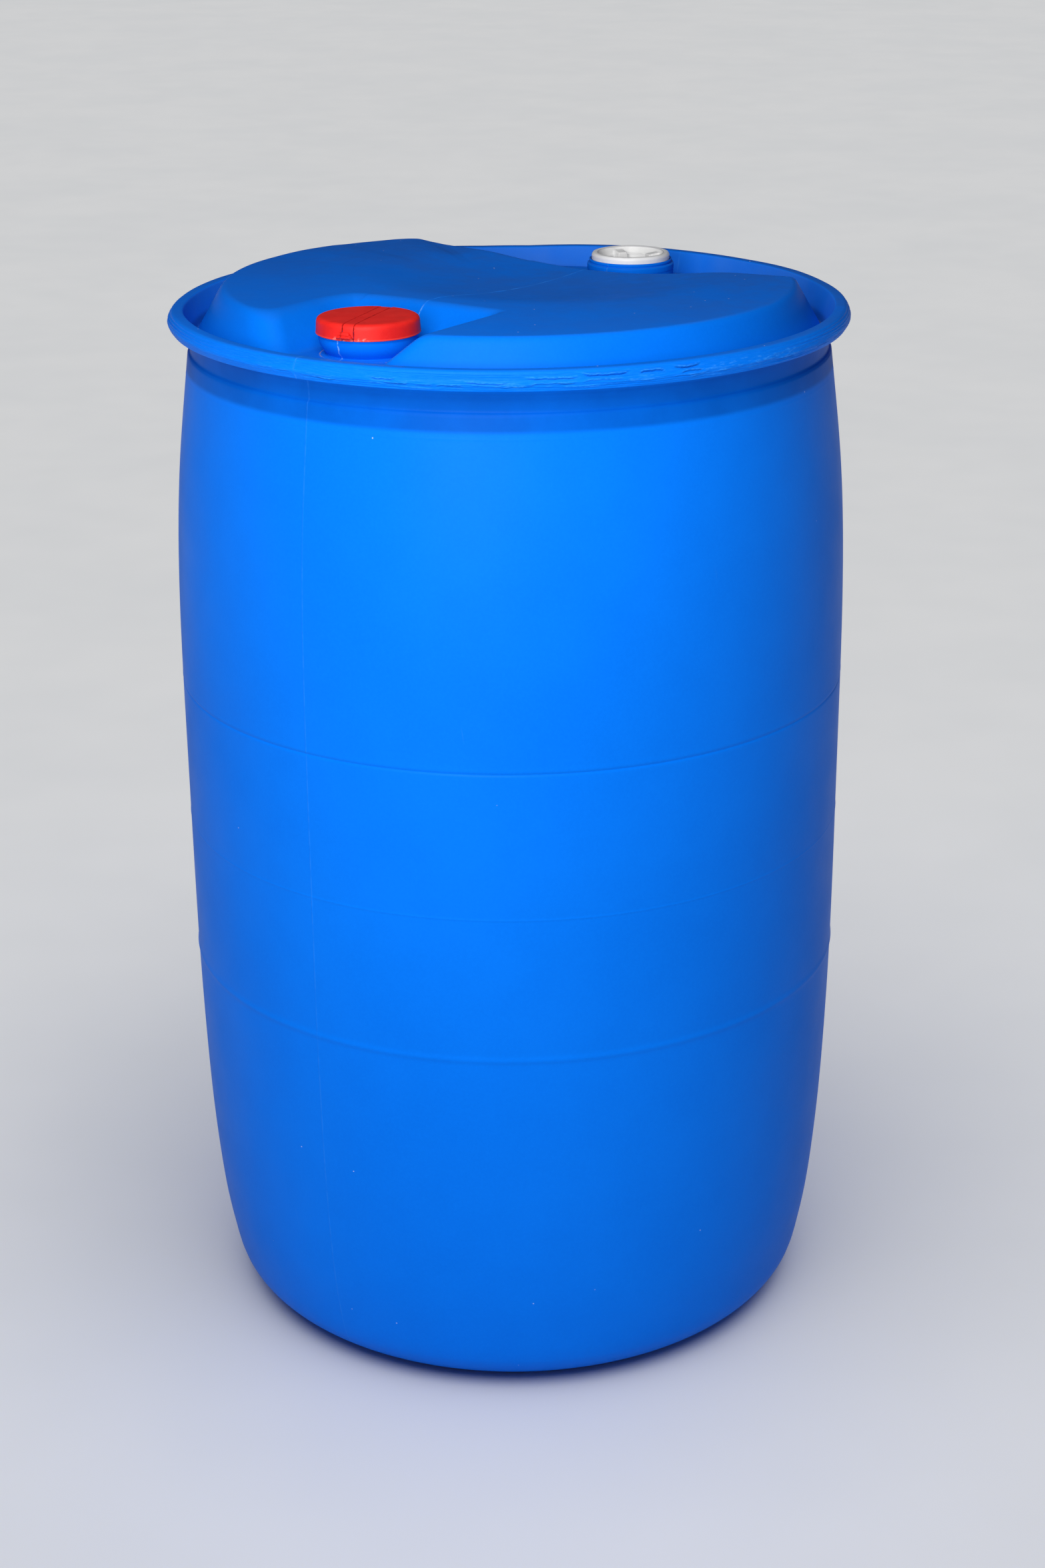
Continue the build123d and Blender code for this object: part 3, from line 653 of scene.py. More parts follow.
# ---------------------------------------------------------------------------
# the two bung necks, threaded inside
# ---------------------------------------------------------------------------
def neck(name, c, lip, floor, seed):
    bead, top_r = (40.5, 38.75) if floor > 900.0 else (39.2, 37.5)
    outer = soften([
        (33.0, floor - 4.2), (33.2, floor - 1.2, 0.2), (38.6, floor - 1.2, 0.2), (38.6, floor + 0.55, 0.35), (37.4, floor + 0.95, 0.8),
        (34.5, floor + 1.3, 0.5), (34.2, floor + 2.3, 0.6), (35.7, floor + 4.2, 1.2), (37.5, floor + 6.6, 1.5), (38.9, floor + 9.3, 1.8),
        (39.8, floor + 12.4, 2.0), (40.1, floor + 15.0, 1.5), (bead - 0.5, lip - 9.3, 0.5), (bead, lip - 8.6, 0.35),
        (bead, lip - 4.3, 0.45), (bead - 0.45, lip - 3.8, 0.35), (top_r - 0.55, lip - 3.2, 0.30), (top_r - 0.65, lip - 2.75, 0.20), (top_r, lip - 2.3, 0.25),
        (top_r, lip - 0.45, 0.30), (top_r - 0.5, lip, 0.30), (36.4, lip, 0.25), (36.1, lip - 0.3, 0.15), (36.1, lip - 2.5)], 0.5, 4)
    if floor < 900.0:
        outer[:, 0] = np.where((outer[:, 0] > 38.9) & (outer[:, 1] < lip - 9.0) & (outer[:, 1] > floor + 8.0), 38.9, outer[:, 0])
    outer = resample(outer, 0.5)
    seat = resample(np.array([(36.1, lip - 2.5), (28.1, lip - 2.5)]), 2.0)[1:]
    bore = np.stack([np.full(60, BORE_R), np.linspace(lip - 2.9, floor - 4.2, 60)], 1)
    rows = np.vstack([outer, seat, bore])
    n_out = len(outer) + len(seat)
    z_start = lip - 2.5 - 4.0 - 12.0
    wob = Waves(seed, 30.0, 2, n=16)

    def radial(T, R, Z):
        isb = np.zeros(R.shape, bool)
        isb[n_out:] = True
        turn = (T % (2 * math.pi)) / (2 * math.pi)
        best = np.zeros(R.shape)
        for k_ in range(4):
            pos_ = turn + k_
            zc = z_start + 4.0 * pos_
            d_ = np.abs(Z - zc)
            a_ = np.clip(np.minimum(pos_, 3.0 - pos_) * 9.0, 0, 1)
            p_ = (2.05 * np.clip((1.0 - d_) / 0.55, 0, 1) - 0.25) * a_
            best = np.maximum(best, p_)
        R = np.where(isb, R - np.maximum(best, 0), R)
        out_wall = np.zeros(R.shape, bool)
        out_wall[4:len(outer) - 8] = True
        cx, cy = R * np.cos(T), R * np.sin(T)
        s_ = cx * V[0] + cy * V[1]
        bump = 0.24 * np.exp(-(s_ / 0.5) ** 2) * (0.8 + 0.5 * wob(cx, Z * 3)) + 0.04 * wob(cx + Z, cy)
        # the notch where the mould halves meet on the collar
        bump = bump - 0.8 * np.exp(-((s_ + 1.4) / 0.6) ** 2) * step(lip - 9.0, lip - 8.0, Z) * (1 - step(lip - 2.9, lip - 2.4, Z)) * (cy < 0) * (floor < 900)
        R = np.where(out_wall, R + bump, R)
        return R, Z
    v_, q_ = revolve_grid(rows, 300, c, radial, closed=True)
    ob = make_object(name, v_, [q_[:, ::-1]], {"scar_and_lip_highlight": np.zeros(len(v_)), "band": np.zeros(len(v_)), "cut": np.zeros(len(v_))})
    return ob


front_neck = neck("front_neck", FRONT_C, FRONT_LIP, FRONT_FLOOR, 31)
rear_neck = neck("rear_neck", REAR_C, REAR_LIP, REAR_FLOOR, 32)


# ---------------------------------------------------------------------------
# the two screw plugs: flange, wrench socket with four lugs, threaded stem
# ---------------------------------------------------------------------------
def plug(name, c, zb, zt, first_lug, seed):
    stem = resample(np.array([(24.6, zb - 17.0), (25.8, zb - 15.8), (25.8, zb - 0.05)]), 0.4)
    bottom = np.array([(0.0, zb - 17.0), (8.0, zb - 17.0), (16.0, zb - 17.0), (22.0, zb - 17.0), (24.3, zb - 17.0)])
    under = resample(np.array([(26.4, zb), (34.6, zb)]), 1.2)
    h = zt - zb
    side = soften([
        (34.7, zb), (35.2, zb, 0.35), (35.2, zt - min(2.4, 0.5 * h), 0.5), (34.2, zt - 0.45, 0.9), (32.6, zt, 0.7),
        (30.6, zt, 0.35), (30.2, zt - 0.35, 0.25), (29.5, zt - 0.35, 0.3), (28.9, zt - 1.6, 0.7), (28.2, zt - 3.0 if h > 5 else zb + 1.8)], 0.4, 5)
    side = resample(side, 0.35)
    n_solid = len(bottom) + len(stem) + len(under) + len(side)
    socket_r_ = np.concatenate([np.linspace(27.9, 15.0, 44), np.linspace(14.4, 0.9, 16), [0.0]])
    rows = np.vstack([bottom, stem, under, side, np.stack([socket_r_, np.full(len(socket_r_), zb)], 1)])
    i0, i1 = len(bottom), len(bottom) + len(stem)
    wob = Waves(seed, 18.0, 2, n=12)
    lug_top = zt - 2.4 if h > 5 else zb + 1.4

    def radial(T, R, Z):
        turn = (T % (2 * math.pi)) / (2 * math.pi)
        best = np.zeros(R.shape)
        for k_ in range(4):
            pos_ = turn + k_
            zc = zb - 15.5 + 4.0 * pos_
            d_ = np.abs(Z - zc)
            a_ = np.clip(np.minimum(pos_, 3.0 - pos_) * 9.0, 0, 1)
            best = np.maximum(best, (2.0 * np.clip((1.0 - d_) / 0.55, 0, 1) - 0.25).clip(0, 1.75) * a_)
        on_stem = np.zeros(R.shape, bool)
        on_stem[i0:i1] = True
        out_r = np.where(on_stem, R + best, R)
        # the inside of the socket as a height over the plane
        x_, y_ = R * np.cos(T), R * np.sin(T)
        floor_z = zb - 12.5
        wall = np.interp(R, [0, 20.5, 22.6, 24.4, 26.0, 27.2, 28.2], [floor_z, floor_z + 0.1, floor_z + 1.2, zb - 6.5, zb - 0.5, zb + 1.0, zt - 3.0 if h > 5 else zb + 1.8])
        hgt = wall + 0.05 * wob(x_, y_)
        for k_ in range(4):
            a0 = math.radians(first_lug + 90.0 * k_)
            al = x_ * math.cos(a0) + y_ * math.sin(a0)
            ta = -x_ * math.sin(a0) + y_ * math.cos(a0)
            d_ = np.maximum(16.8 - al, np.abs(ta) - 3.9)
            d_ = np.where(al > 0, d_, 99.0)
            hgt = smax(hgt, lug_top - 0.35 * np.clip(27.0 - al, 0, 9) * 0.35 - 7.0 * np.maximum(d_, 0.0), 0.9)
        in_socket = np.zeros(R.shape, bool)
        in_socket[n_solid:] = True
        fade_ = np.clip((27.9 - R) / 0.6, 0, 1)
        z_s = np.where(in_socket, hgt * fade_ + (1 - fade_) * wall, Z)
        return out_r, z_s
    v_, q_ = revolve_grid(rows, 220, c, radial, closed=False)
    ob = make_object(name, v_, [q_[:, ::-1]])
    weld(ob)
    return ob


def weld(ob, dist=3e-6):
    b_ = bmesh.new()
    b_.from_mesh(ob.data)
    bmesh.ops.remove_doubles(b_, verts=b_.verts, dist=dist)
    bmesh.ops.dissolve_degenerate(b_, edges=b_.edges, dist=1e-7)
    bmesh.ops.recalc_face_normals(b_, faces=b_.faces)
    for f_ in b_.faces:
        f_.smooth = True
    print(ob.name, "open edges", sum(1 for e_ in b_.edges if not e_.is_manifold), "faces", len(b_.faces))
    b_.to_mesh(ob.data)
    b_.free()


F_ZB, R_ZB = FRONT_LIP - 1.0, REAR_LIP - 1.0
front_plug_piece = plug("front_plug_body", FRONT_C, F_ZB, 929.5, 40.0, 41)
rear_plug_piece = plug("rear_plug_body", REAR_C, R_ZB, R_ZB + 6.5, 22.0, 42)

# ---------------------------------------------------------------------------
# the tamper cap and the tear strip that divides it
# ---------------------------------------------------------------------------
D_DIR = np.array([math.cos(STRIP_A), math.sin(STRIP_A)])
N_DIR = np.array([math.sin(STRIP_A), -math.cos(STRIP_A)])
STRIP_N0, STRIP_N1, STRIP_END, GAP = -4.6, 5.2, 38.5, 0.4
CROWN, SKIRT = 1.8, 0.7          # the cap as seen stands this much higher than its CAD solid


def cap_shell():
    outer = soften([
        (0.0, 931.6), (20.0, 931.58, 4.0), (36.5, 931.5, 2.5), (38.9, 931.2, 1.8), (40.9, 929.9, 1.9), (41.5, 927.9, 1.8),
        (41.95, 921.0, 0.8), (42.0, 920.5, 0.2), (42.2, 920.3, 0.15), (42.2, 919.45, 0.15), (42.05, 919.3, 0.1),
        (41.0, 919.3, 0.15), (40.9, 920.0, 0.5), (40.9, 928.2, 0.8), (39.3, 929.8, 0.8), (20.0, 929.8, 1.0), (0.0, 929.8)], 0.5, 5)
    outer = resample(outer, 0.55)
    outer[:, 1] += SKIRT + (CROWN - SKIRT) * np.clip((outer[:, 1] - 921.0) / 7.0, 0, 1)
    v_, q_ = revolve_grid(outer, 288, FRONT_C, None, closed=False)
    b_ = bmesh.new()
    vs = [b_.verts.new(Vector(p_) * MM) for p_ in v_]
    for q in q_[:, ::-1]:
        b_.faces.new([vs[i] for i in q])
    bmesh.ops.remove_doubles(b_, verts=b_.verts, dist=3e-6)
    bmesh.ops.dissolve_degenerate(b_, edges=b_.edges, dist=1e-7)
    bmesh.ops.recalc_face_normals(b_, faces=b_.faces)
    return b_


def nt(co):
    p_ = np.array([co.x, co.y]) / MM - FRONT_C
    return float(p_ @ N_DIR), float(p_ @ D_DIR)


def cut_piece(name, keep_band):
    b_ = cap_shell()
    s_ = 1.0 if keep_band else -1.0
    n0, n1 = STRIP_N0 + s_ * GAP / 2, STRIP_N1 - s_ * GAP / 2
    t1 = STRIP_END - 0.3 if keep_band else STRIP_END + GAP
    base = Vector((FRONT_C[0] * MM, FRONT_C[1] * MM, 0))
    nv, dv = Vector((N_DIR[0], N_DIR[1], 0)), Vector((D_DIR[0], D_DIR[1], 0))
    for off_, s2 in ((n0, 1), (n1, -1)):
        for e_ in (0.0, 0.12, 0.3, 0.6):
            geom = b_.verts[:] + b_.edges[:] + b_.faces[:]
            bmesh.ops.bisect_plane(b_, geom=geom, dist=1e-7, plane_co=base + nv * ((off_ + s_ * s2 * e_) * MM), plane_no=nv)
    for e_ in (0.0, 0.12, 0.3, 0.6):
        geom = b_.verts[:] + b_.edges[:] + b_.faces[:]
        bmesh.ops.bisect_plane(b_, geom=geom, dist=1e-7, plane_co=base + dv * ((t1 - s_ * e_) * MM), plane_no=dv)
    kill = []
    for f_ in b_.faces:
        n_, t_ = nt(f_.calc_center_median())
        in_band = (n0 < n_ < n1) and t_ < t1
        if in_band != keep_band:
            kill.append(f_)
    bmesh.ops.delete(b_, geom=kill, context="FACES")
    b_.normal_update()
    # walls along the cuts: one closed outline for each cutting plane
    edges = [e_ for e_ in b_.edges if e_.is_boundary]
    groups_ = {"a": [], "b": [], "c": []}
    for e_ in edges:
        m_ = (e_.verts[0].co + e_.verts[1].co) / 2
        n_, t_ = nt(m_)
        da_, db_ = abs(n_ - n0), abs(n_ - n1)
        dc_ = max(abs(nt(v_.co)[1] - t1) for v_ in e_.verts)
        if dc_ < 0.006 and n0 - 0.05 < n_ < n1 + 0.05:
            groups_["c"].append(e_)
        elif da_ < db_:
            groups_["a"].append(e_)
        else:
            groups_["b"].append(e_)
    corners = []
    for nn in (n0, n1):
        near = [v_ for v_ in b_.verts if abs(nt(v_.co)[0] - nn) < 0.01 and abs(nt(v_.co)[1] - t1) < 0.01]
        near.sort(key=lambda v_: v_.co.z)
        corners.append(b_.edges.new((near[0], near[-1])))
    # ease the cut edges on the outside
    norms = {v_: v_.normal.copy() for v_ in b_.verts}
    moves = {}
    for v_ in b_.verts:
        n_, t_ = nt(v_.co)
        r_ = math.hypot(n_, t_)
        z_ = v_.co.z / MM
        if not (z_ > 932.2 or r_ > 41.2):
            continue
        if t_ > t1 + 1.0 and not keep_band:
            continue
        dn = min(abs(n_ - n0), abs(n_ - n1)) if t_ < t1 + 0.01 else 9.0
        if abs(n_ - (n0 + n1) / 2) < (n1 - n0) / 2 + 0.65:
            dn = min(dn, abs(t_ - t1))
        if dn < 0.58:
            moves[v_] = 0.45 * max(0.0, 1.0 - dn / 0.5) ** 2
    for v_, m_ in moves.items():
        v_.co -= norms[v_] * (m_ * MM)
    # thinned to a living hinge where the band bends up, so that it clears the cap behind it
    for v_ in b_.verts:
        n_, t_ = nt(v_.co)
        dist = (t1 - t_) if keep_band else (t_ - t1)
        if dist < -0.5:
            continue
        beside = max(0.0, abs(n_ - (n0 + n1) / 2) - (n1 - n0) / 2)
        top = 931.7 + max(dist, 0.0) / 1.9 + 3.0 * beside
        if v_.co.z / MM > top:
            v_.co.z = top * MM
    for key, grp in groups_.items():
        extra = corners if key == "c" else [corners[0] if key == "a" else corners[1]]
        bmesh.ops.edgeloop_fill(b_, edges=grp + extra)
    big_faces = [f_ for f_ in b_.faces if len(f_.verts) > 4]
    bmesh.ops.triangulate(b_, faces=big_faces)
    bmesh.ops.recalc_face_normals(b_, faces=b_.faces)
    for f_ in b_.faces:
        n_ = f_.normal
        flat_wall = abs(n_.z) < 0.2 and (abs(n_.dot(nv)) > 0.97 or abs(n_.dot(dv)) > 0.97)
        m_ = f_.calc_center_median()
        nn, tt = nt(m_)
        f_.smooth = not (flat_wall and (min(abs(nn - n0), abs(nn - n1)) < 0.05 or abs(tt - t1) < 0.05))
    print(name, "open edges", sum(1 for e_ in b_.edges if not e_.is_manifold), "faces", len(b_.faces))
    if keep_band:
        add_tab(b_)
    me = bpy.data.meshes.new(name)
    b_.to_mesh(me)
    b_.free()
    ob = bpy.data.objects.new(name, me)
    bpy.context.scene.collection.objects.link(ob)
    return ob


def add_tab(b_):
    """The pull tab: a ribbed grip standing off the skirt, wider at its foot."""
    line = soften([
        (41.3, 926.7), (43.0, 926.5, 0.6), (43.9, 925.9, 0.4), (44.0, 925.2, 0.25), (44.9, 924.9, 0.3), (45.1, 924.2, 0.3),
        (44.3, 923.7, 0.25), (44.4, 923.1, 0.25), (45.5, 922.7, 0.3), (45.7, 921.8, 0.35), (45.0, 921.2, 0.3), (44.9, 920.8, 0.2), (43.9, 920.5, 0.4), (41.3, 920.6)], 0.3, 4)
    line = resample(line, 0.22)
    m_ = 26
    grid = []
    for r_, z_ in line:
        f_ = (926.4 - z_) / (926.4 - 920.6)
        f_ = min(max(f_, 0.0), 1.0)
        c_ = -2.4
        hw = 3.9 + 3.4 * f_ ** 0.9
        row = []
        for i in range(m_ + 1):
            a_ = i / m_ * 2 - 1
            n_ = c_ + a_ * hw
            edge = max(0.0, abs(a_) - 0.86) / 0.14
            out_ = 41.3 + (r_ - 41.3) * (1 - 0.55 * edge ** 2.2)
            if n_ < STRIP_N0 + GAP / 2:
                out_ = max(out_, 42.55)          # this side of the grip hangs in front of the cap's skirt, clear of it
            t_ = -math.sqrt(max(out_ ** 2 - n_ ** 2, 1.0))
            p_ = FRONT_C + N_DIR * n_ + D_DIR * t_
            row.append(b_.verts.new(Vector((p_[0], p_[1], 922.0 + (z_ - 920.6) * 0.88)) * MM))
        grid.append(row)
    new = []
    for i in range(len(grid) - 1):
        for j_ in range(m_):
            new.append(b_.faces.new((grid[i][j_], grid[i][j_ + 1], grid[i + 1][j_ + 1], grid[i + 1][j_])))
    # close the ends and the back
    for col in (0, m_):
        new.append(b_.faces.new([grid[i][col] for i in range(len(grid))]))
    for j_ in range(m_):
        new.append(b_.faces.new((grid[0][j_ + 1], grid[0][j_], grid[-1][j_], grid[-1][j_ + 1])))
    tri = bmesh.ops.triangulate(b_, faces=[f_ for f_ in new if len(f_.verts) > 4])
    new = [f_ for f_ in new if f_.is_valid] + tri["faces"]
    for f_ in new:
        f_.smooth = True
    bmesh.ops.recalc_face_normals(b_, faces=list(set(new)))


cap_piece = cut_piece("overcap_body", False)
strip_piece = cut_piece("tear_strip_body", True)


# ---------------------------------------------------------------------------
# materials
# ---------------------------------------------------------------------------
class Graph:
    def __init__(self, name):
        self.m = bpy.data.materials.new(name)
        self.m.use_nodes = True
        self.t = self.m.node_tree
        self.t.nodes.clear()
        self.out = self.t.nodes.new("ShaderNodeOutputMaterial")
        self.b = self.t.nodes.new("ShaderNodeBsdfPrincipled")
        self.t.links.new(self.b.outputs[0], self.out.inputs[0])
        tc = self.t.nodes.new("ShaderNodeTexCoord")
        self.P = tc.outputs["Object"]
        sep = self.node("ShaderNodeSeparateXYZ", {0: self.P})
        self.x, self.y, self.z = sep.outputs
        geo = self.t.nodes.new("ShaderNodeNewGeometry")
        self.N = geo.outputs["Normal"]
        self.pointy = geo.outputs["Pointiness"]

    def node(self, kind, ins=None, **attrs):
        n = self.t.nodes.new(kind)
        for k_, v_ in attrs.items():
            setattr(n, k_, v_)
        for k_, v_ in (ins or {}).items():
            if isinstance(v_, bpy.types.NodeSocket):
                self.t.links.new(v_, n.inputs[k_])
            else:
                n.inputs[k_].default_value = v_
        return n

    def math(self, op, a, b=0.0, c=None, clamp=False):
        ins = {0: a, 1: b}
        if c is not None:
            ins[2] = c
        n = self.node("ShaderNodeMath", ins, operation=op)
        n.use_clamp = clamp
        return n.outputs[0]

    def noise(self, vec, scale, detail=3.0, rough=0.55, dist=0.0):
        n = self.node("ShaderNodeTexNoise", {"Vector": vec, "Scale": scale, "Detail": detail, "Roughness": rough, "Distortion": dist})
        return n.outputs[0]

    def ramp(self, v, a, b, lo=0.0, hi=1.0, smooth=True):
        n = self.node("ShaderNodeMapRange", {"Value": v, "From Min": a, "From Max": b, "To Min": lo, "To Max": hi})
        n.interpolation_type = "SMOOTHSTEP" if smooth else "LINEAR"
        return n.outputs[0]

    def mix(self, f, a, b):
        n = self.node("ShaderNodeMix", data_type="RGBA")
        for s_, v_ in ((n.inputs[0], f), (n.inputs[6], a), (n.inputs[7], b)):
            if isinstance(v_, bpy.types.NodeSocket):
                self.t.links.new(v_, s_)
            else:
                s_.default_value = v_
        return n.outputs[2]

    def combine(self, x, y, z):
        return self.node("ShaderNodeCombineXYZ", {0: x, 1: y, 2: z}).outputs[0]

    def voronoi(self, vec, scale, feature="F1"):
        n = self.node("ShaderNodeTexVoronoi", {"Vector": vec, "Scale": scale}, feature=feature)
        return n

    def attr(self, name):
        n = self.node("ShaderNodeAttribute")
        n.attribute_name = name
        return n.outputs["Fac"]

    def set(self, **kw):
        for k_, v_ in kw.items():
            s_ = self.b.inputs[k_.replace("_", " ")]
            if isinstance(v_, bpy.types.NodeSocket):
                self.t.links.new(v_, s_)
            else:
                s_.default_value = v_

    def bump(self, height, strength, distance):
        n = self.node("ShaderNodeBump", {"Strength": strength, "Distance": distance, "Height": height})
        self.t.links.new(n.outputs[0], self.b.inputs["Normal"])


def hdpe_blue():
    g = Graph("drum_blue_hdpe")
    ang = g.math("ARCTAN2", g.x, g.math("MULTIPLY", g.y, -1.0))
    s = g.math("MULTIPLY", ang, 0.29)
    r = g.math("SQRT", g.math("ADD", g.math("MULTIPLY", g.x, g.x), g.math("MULTIPLY", g.y, g.y)))
    sepn = g.node("ShaderNodeSeparateXYZ", {0: g.N})
    nz = sepn.outputs[2]
    head = g.math("GREATER_THAN", g.z, 0.86)
    flat = g.math("MULTIPLY", g.ramp(nz, 0.72, 0.97), head)
    # colour of the plastic, in broad soft patches
    big = g.noise(g.P, 4.0, 3.0)
    mid = g.noise(g.P, 26.0, 4.0)
    col = g.mix(g.ramp(big, 0.32, 0.68), (0.0006, 0.155, 0.79, 1), (0.0010, 0.166, 0.83, 1))
    col = g.mix(g.ramp(mid, 0.30, 0.75, 0.0, 0.20), col, (0.0004, 0.135, 0.72, 1))
    fine = g.noise(g.P, 420.0, 2.0)
    col = g.mix(g.ramp(fine, 0.35, 0.7, 0.0, 0.14), col, (0.002, 0.20, 0.90, 1))
    # dust and handling haze on the head panel
    haze = g.noise(g.P, 9.0, 5.0, 0.62)
    haze2 = g.noise(g.P, 70.0, 4.0, 0.6)
    dust = g.math("MULTIPLY", flat, g.ramp(g.math("ADD", g.math("MULTIPLY", haze, 0.7), g.math("MULTIPLY", haze2, 0.3)), 0.35, 0.62, 0.10, 0.55))
    # the plateau is greyer towards the back and the right
    side = g.ramp(g.math("ADD", g.math("MULTIPLY", g.x, 0.62), g.math("MULTIPLY", g.y, 0.78)), -0.20, 0.16, 0.35, 1.0)
    dust = g.math("MULTIPLY", dust, side)
    col = g.mix(g.math("MULTIPLY", dust, 0.85), col, (0.030, 0.105, 0.40, 1))
    # the throat below the lifting ring is darker in the photo, mostly from the ring's shade, so it is darkened here to match
    throat = g.math("MULTIPLY", g.math("MULTIPLY", g.ramp(g.z, 0.8615, 0.8665), g.ramp(g.z, 0.8925, 0.8975, 1.0, 0.0)), g.math("GREATER_THAN", r, 0.2685))
    col = g.mix(g.math("MULTIPLY", throat, g.ramp(g.noise(g.P, 20.0, 4.0), 0.3, 0.7, 0.55, 0.72)), col, (0.0004, 0.062, 0.36, 1))
    # painted sheen: the inside wall of the lifting ring, where it faces inward, is made paler and greyer
    inner = g.math("MULTIPLY", g.math("MULTIPLY", g.math("GREATER_THAN", r, 0.2688), g.math("LESS_THAN", r, 0.2772)), g.math("GREATER_THAN", g.z, 0.884))
    nin = g.math("ADD", g.math("MULTIPLY", sepn.outputs[0], g.x), g.math("MULTIPLY", sepn.outputs[1], g.y))
    inner = g.math("MULTIPLY", inner, g.math("LESS_THAN", nin, -0.03))
    inner = g.math("MULTIPLY", inner, g.ramp(g.noise(g.P, 16.0, 3.0), 0.35, 0.65, 0.10, 0.30))
    col = g.mix(inner, col, (0.075, 0.23, 0.66, 1))
    # scraped ring, paler where scraped; the raised lips beside the cuts are also paler, which is a painted highlight
    scar_and_lip_highlight = g.attr("scar_and_lip_highlight")
    band = g.attr("band")
    scraped = g.noise(g.combine(g.math("MULTIPLY", s, 1.0), g.math("MULTIPLY", g.z, 3.2), 0.0), 260.0, 4.0, 0.65)
    sc = g.math("MULTIPLY", scar_and_lip_highlight, g.ramp(scraped, 0.40, 0.60))
    col = g.mix(g.math("MULTIPLY", sc, 0.62, clamp=True), col, (0.040, 0.30, 0.95, 1))
    # painted shade: the cut grooves on the ring are darkened
    cut = g.attr("cut")
    col = g.mix(g.math("MULTIPLY", cut, 0.75, clamp=True), col, (0.0006, 0.045, 0.30, 1))
    bandn = g.noise(g.combine(g.math("MULTIPLY", s, 0.25), g.math("MULTIPLY", g.z, 6.0), 0.0), 420.0, 3.0)
    col = g.mix(g.math("MULTIPLY", band, g.ramp(bandn, 0.45, 0.75, 0.0, 0.30)), col, (0.02, 0.26, 0.95, 1))
    # parting line shows paler
    vdist = g.math("ABSOLUTE", g.math("ADD", g.math("MULTIPLY", g.x, float(V[0])), g.math("MULTIPLY", g.y, float(V[1]))))
    seam = g.math("MULTIPLY", g.ramp(vdist, 0.0003, 0.0009, 1.0, 0.0), g.ramp(g.noise(g.P, 120.0, 3.0), 0.38, 0.62, 0.25, 1.0))
    # ragged white flash where the parting line crosses the neck and the recess wall
    jag = g.math("MULTIPLY", g.math("SUBTRACT", g.noise(g.P, 240.0, 3.0, 0.6), 0.5), 0.0042)
    vj = g.math("ABSOLUTE", g.math("ADD", g.math("ADD", g.math("MULTIPLY", g.x, float(V[0])), g.math("MULTIPLY", g.y, float(V[1]))), jag))
    along_u = g.math("ADD", g.math("MULTIPLY", g.x, float(U[0])), g.math("MULTIPLY", g.y, float(U[1])))
    zone = g.math("MULTIPLY", g.math("MULTIPLY", g.ramp(along_u, 0.120, 0.126), g.ramp(along_u, 0.238, 0.246, 1.0, 0.0)), g.ramp(g.z, 0.9020, 0.9028))
    zone = g.math("MULTIPLY", zone, g.ramp(nz, 0.90, 0.97, 1.0, 0.25))
    flash = g.math("MULTIPLY", g.math("MULTIPLY", g.ramp(vj, 0.0002, 0.0008, 1.0, 0.0), zone), g.ramp(g.noise(g.P, 330.0, 2.0), 0.46, 0.58))
    rn = g.math("SQRT", g.math("ADD", g.math("POWER", g.math("ADD", g.x, -float(FRONT_C[0]) * MM), 2.0), g.math("POWER", g.math("ADD", g.y, -float(FRONT_C[1]) * MM), 2.0)))
    topz = g.ramp(g.z, 0.900, 0.906)
    seam_top = g.math("MULTIPLY", seam, g.ramp(g.z, 0.893, 0.900, 0.35, 1.0))
    col = g.mix(g.math("MULTIPLY", seam_top, 0.42), col, (0.05, 0.30, 0.90, 1))
    col = g.mix(g.math("MULTIPLY", flash, 0.55), col, (0.30, 0.58, 0.95, 1))
    # brown dirt washed against the foot of the front neck and in the channel
    dirt_n = g.noise(g.P, 85.0, 5.0, 0.65)
    foot_d = g.math("MULTIPLY", g.ramp(g.math("ABSOLUTE", g.math("SUBTRACT", rn, 0.0392)), 0.0002, 0.0009, 1.0, 0.0), g.math("LESS_THAN", g.z, 0.9034))
    foot_d = g.math("MULTIPLY", foot_d, g.math("MULTIPLY", head, g.ramp(dirt_n, 0.46, 0.56)))
    up_only = g.ramp(nz, 0.35, 0.6)
    chan = g.math("MULTIPLY", g.ramp(g.math("ABSOLUTE", g.math("SUBTRACT", r, 0.2683)), 0.0008, 0.0024, 1.0, 0.0), g.math("MULTIPLY", up_only, g.math("LESS_THAN", g.z, 0.8905)))
    chan = g.math("MULTIPLY", g.math("MULTIPLY", chan, g.math("GREATER_THAN", g.z, 0.880)), g.ramp(g.noise(g.P, 30.0, 4.0, 0.6), 0.46, 0.66))
    col = g.mix(g.math("MULTIPLY", chan, 0.60), col, (0.15, 0.15, 0.12, 1))
    col = g.mix(g.math("MULTIPLY", foot_d, 0.60), col, (0.42, 0.38, 0.34, 1))
    dirt = g.math("MAXIMUM", foot_d, chan)
    # stray pale specks of dust
    vo = g.voronoi(g.P, 150.0)
    rnd = g.node("ShaderNodeSeparateXYZ", {0: vo.outputs["Color"]}).outputs[0]
    low = g.ramp(g.z, 0.04, 0.30, 1.0, 0.0)
    amount = g.math("ADD", 0.004, g.math("ADD", g.math("MULTIPLY", flat, 0.035), g.math("MULTIPLY", low, 0.012)))
    speck = g.math("MULTIPLY", g.math("LESS_THAN", rnd, amount), g.ramp(vo.outputs["Distance"], 0.05, 0.11, 1.0, 0.0))
    col = g.mix(g.math("MULTIPLY", speck, 0.6), col, (0.60, 0.70, 0.92, 1))
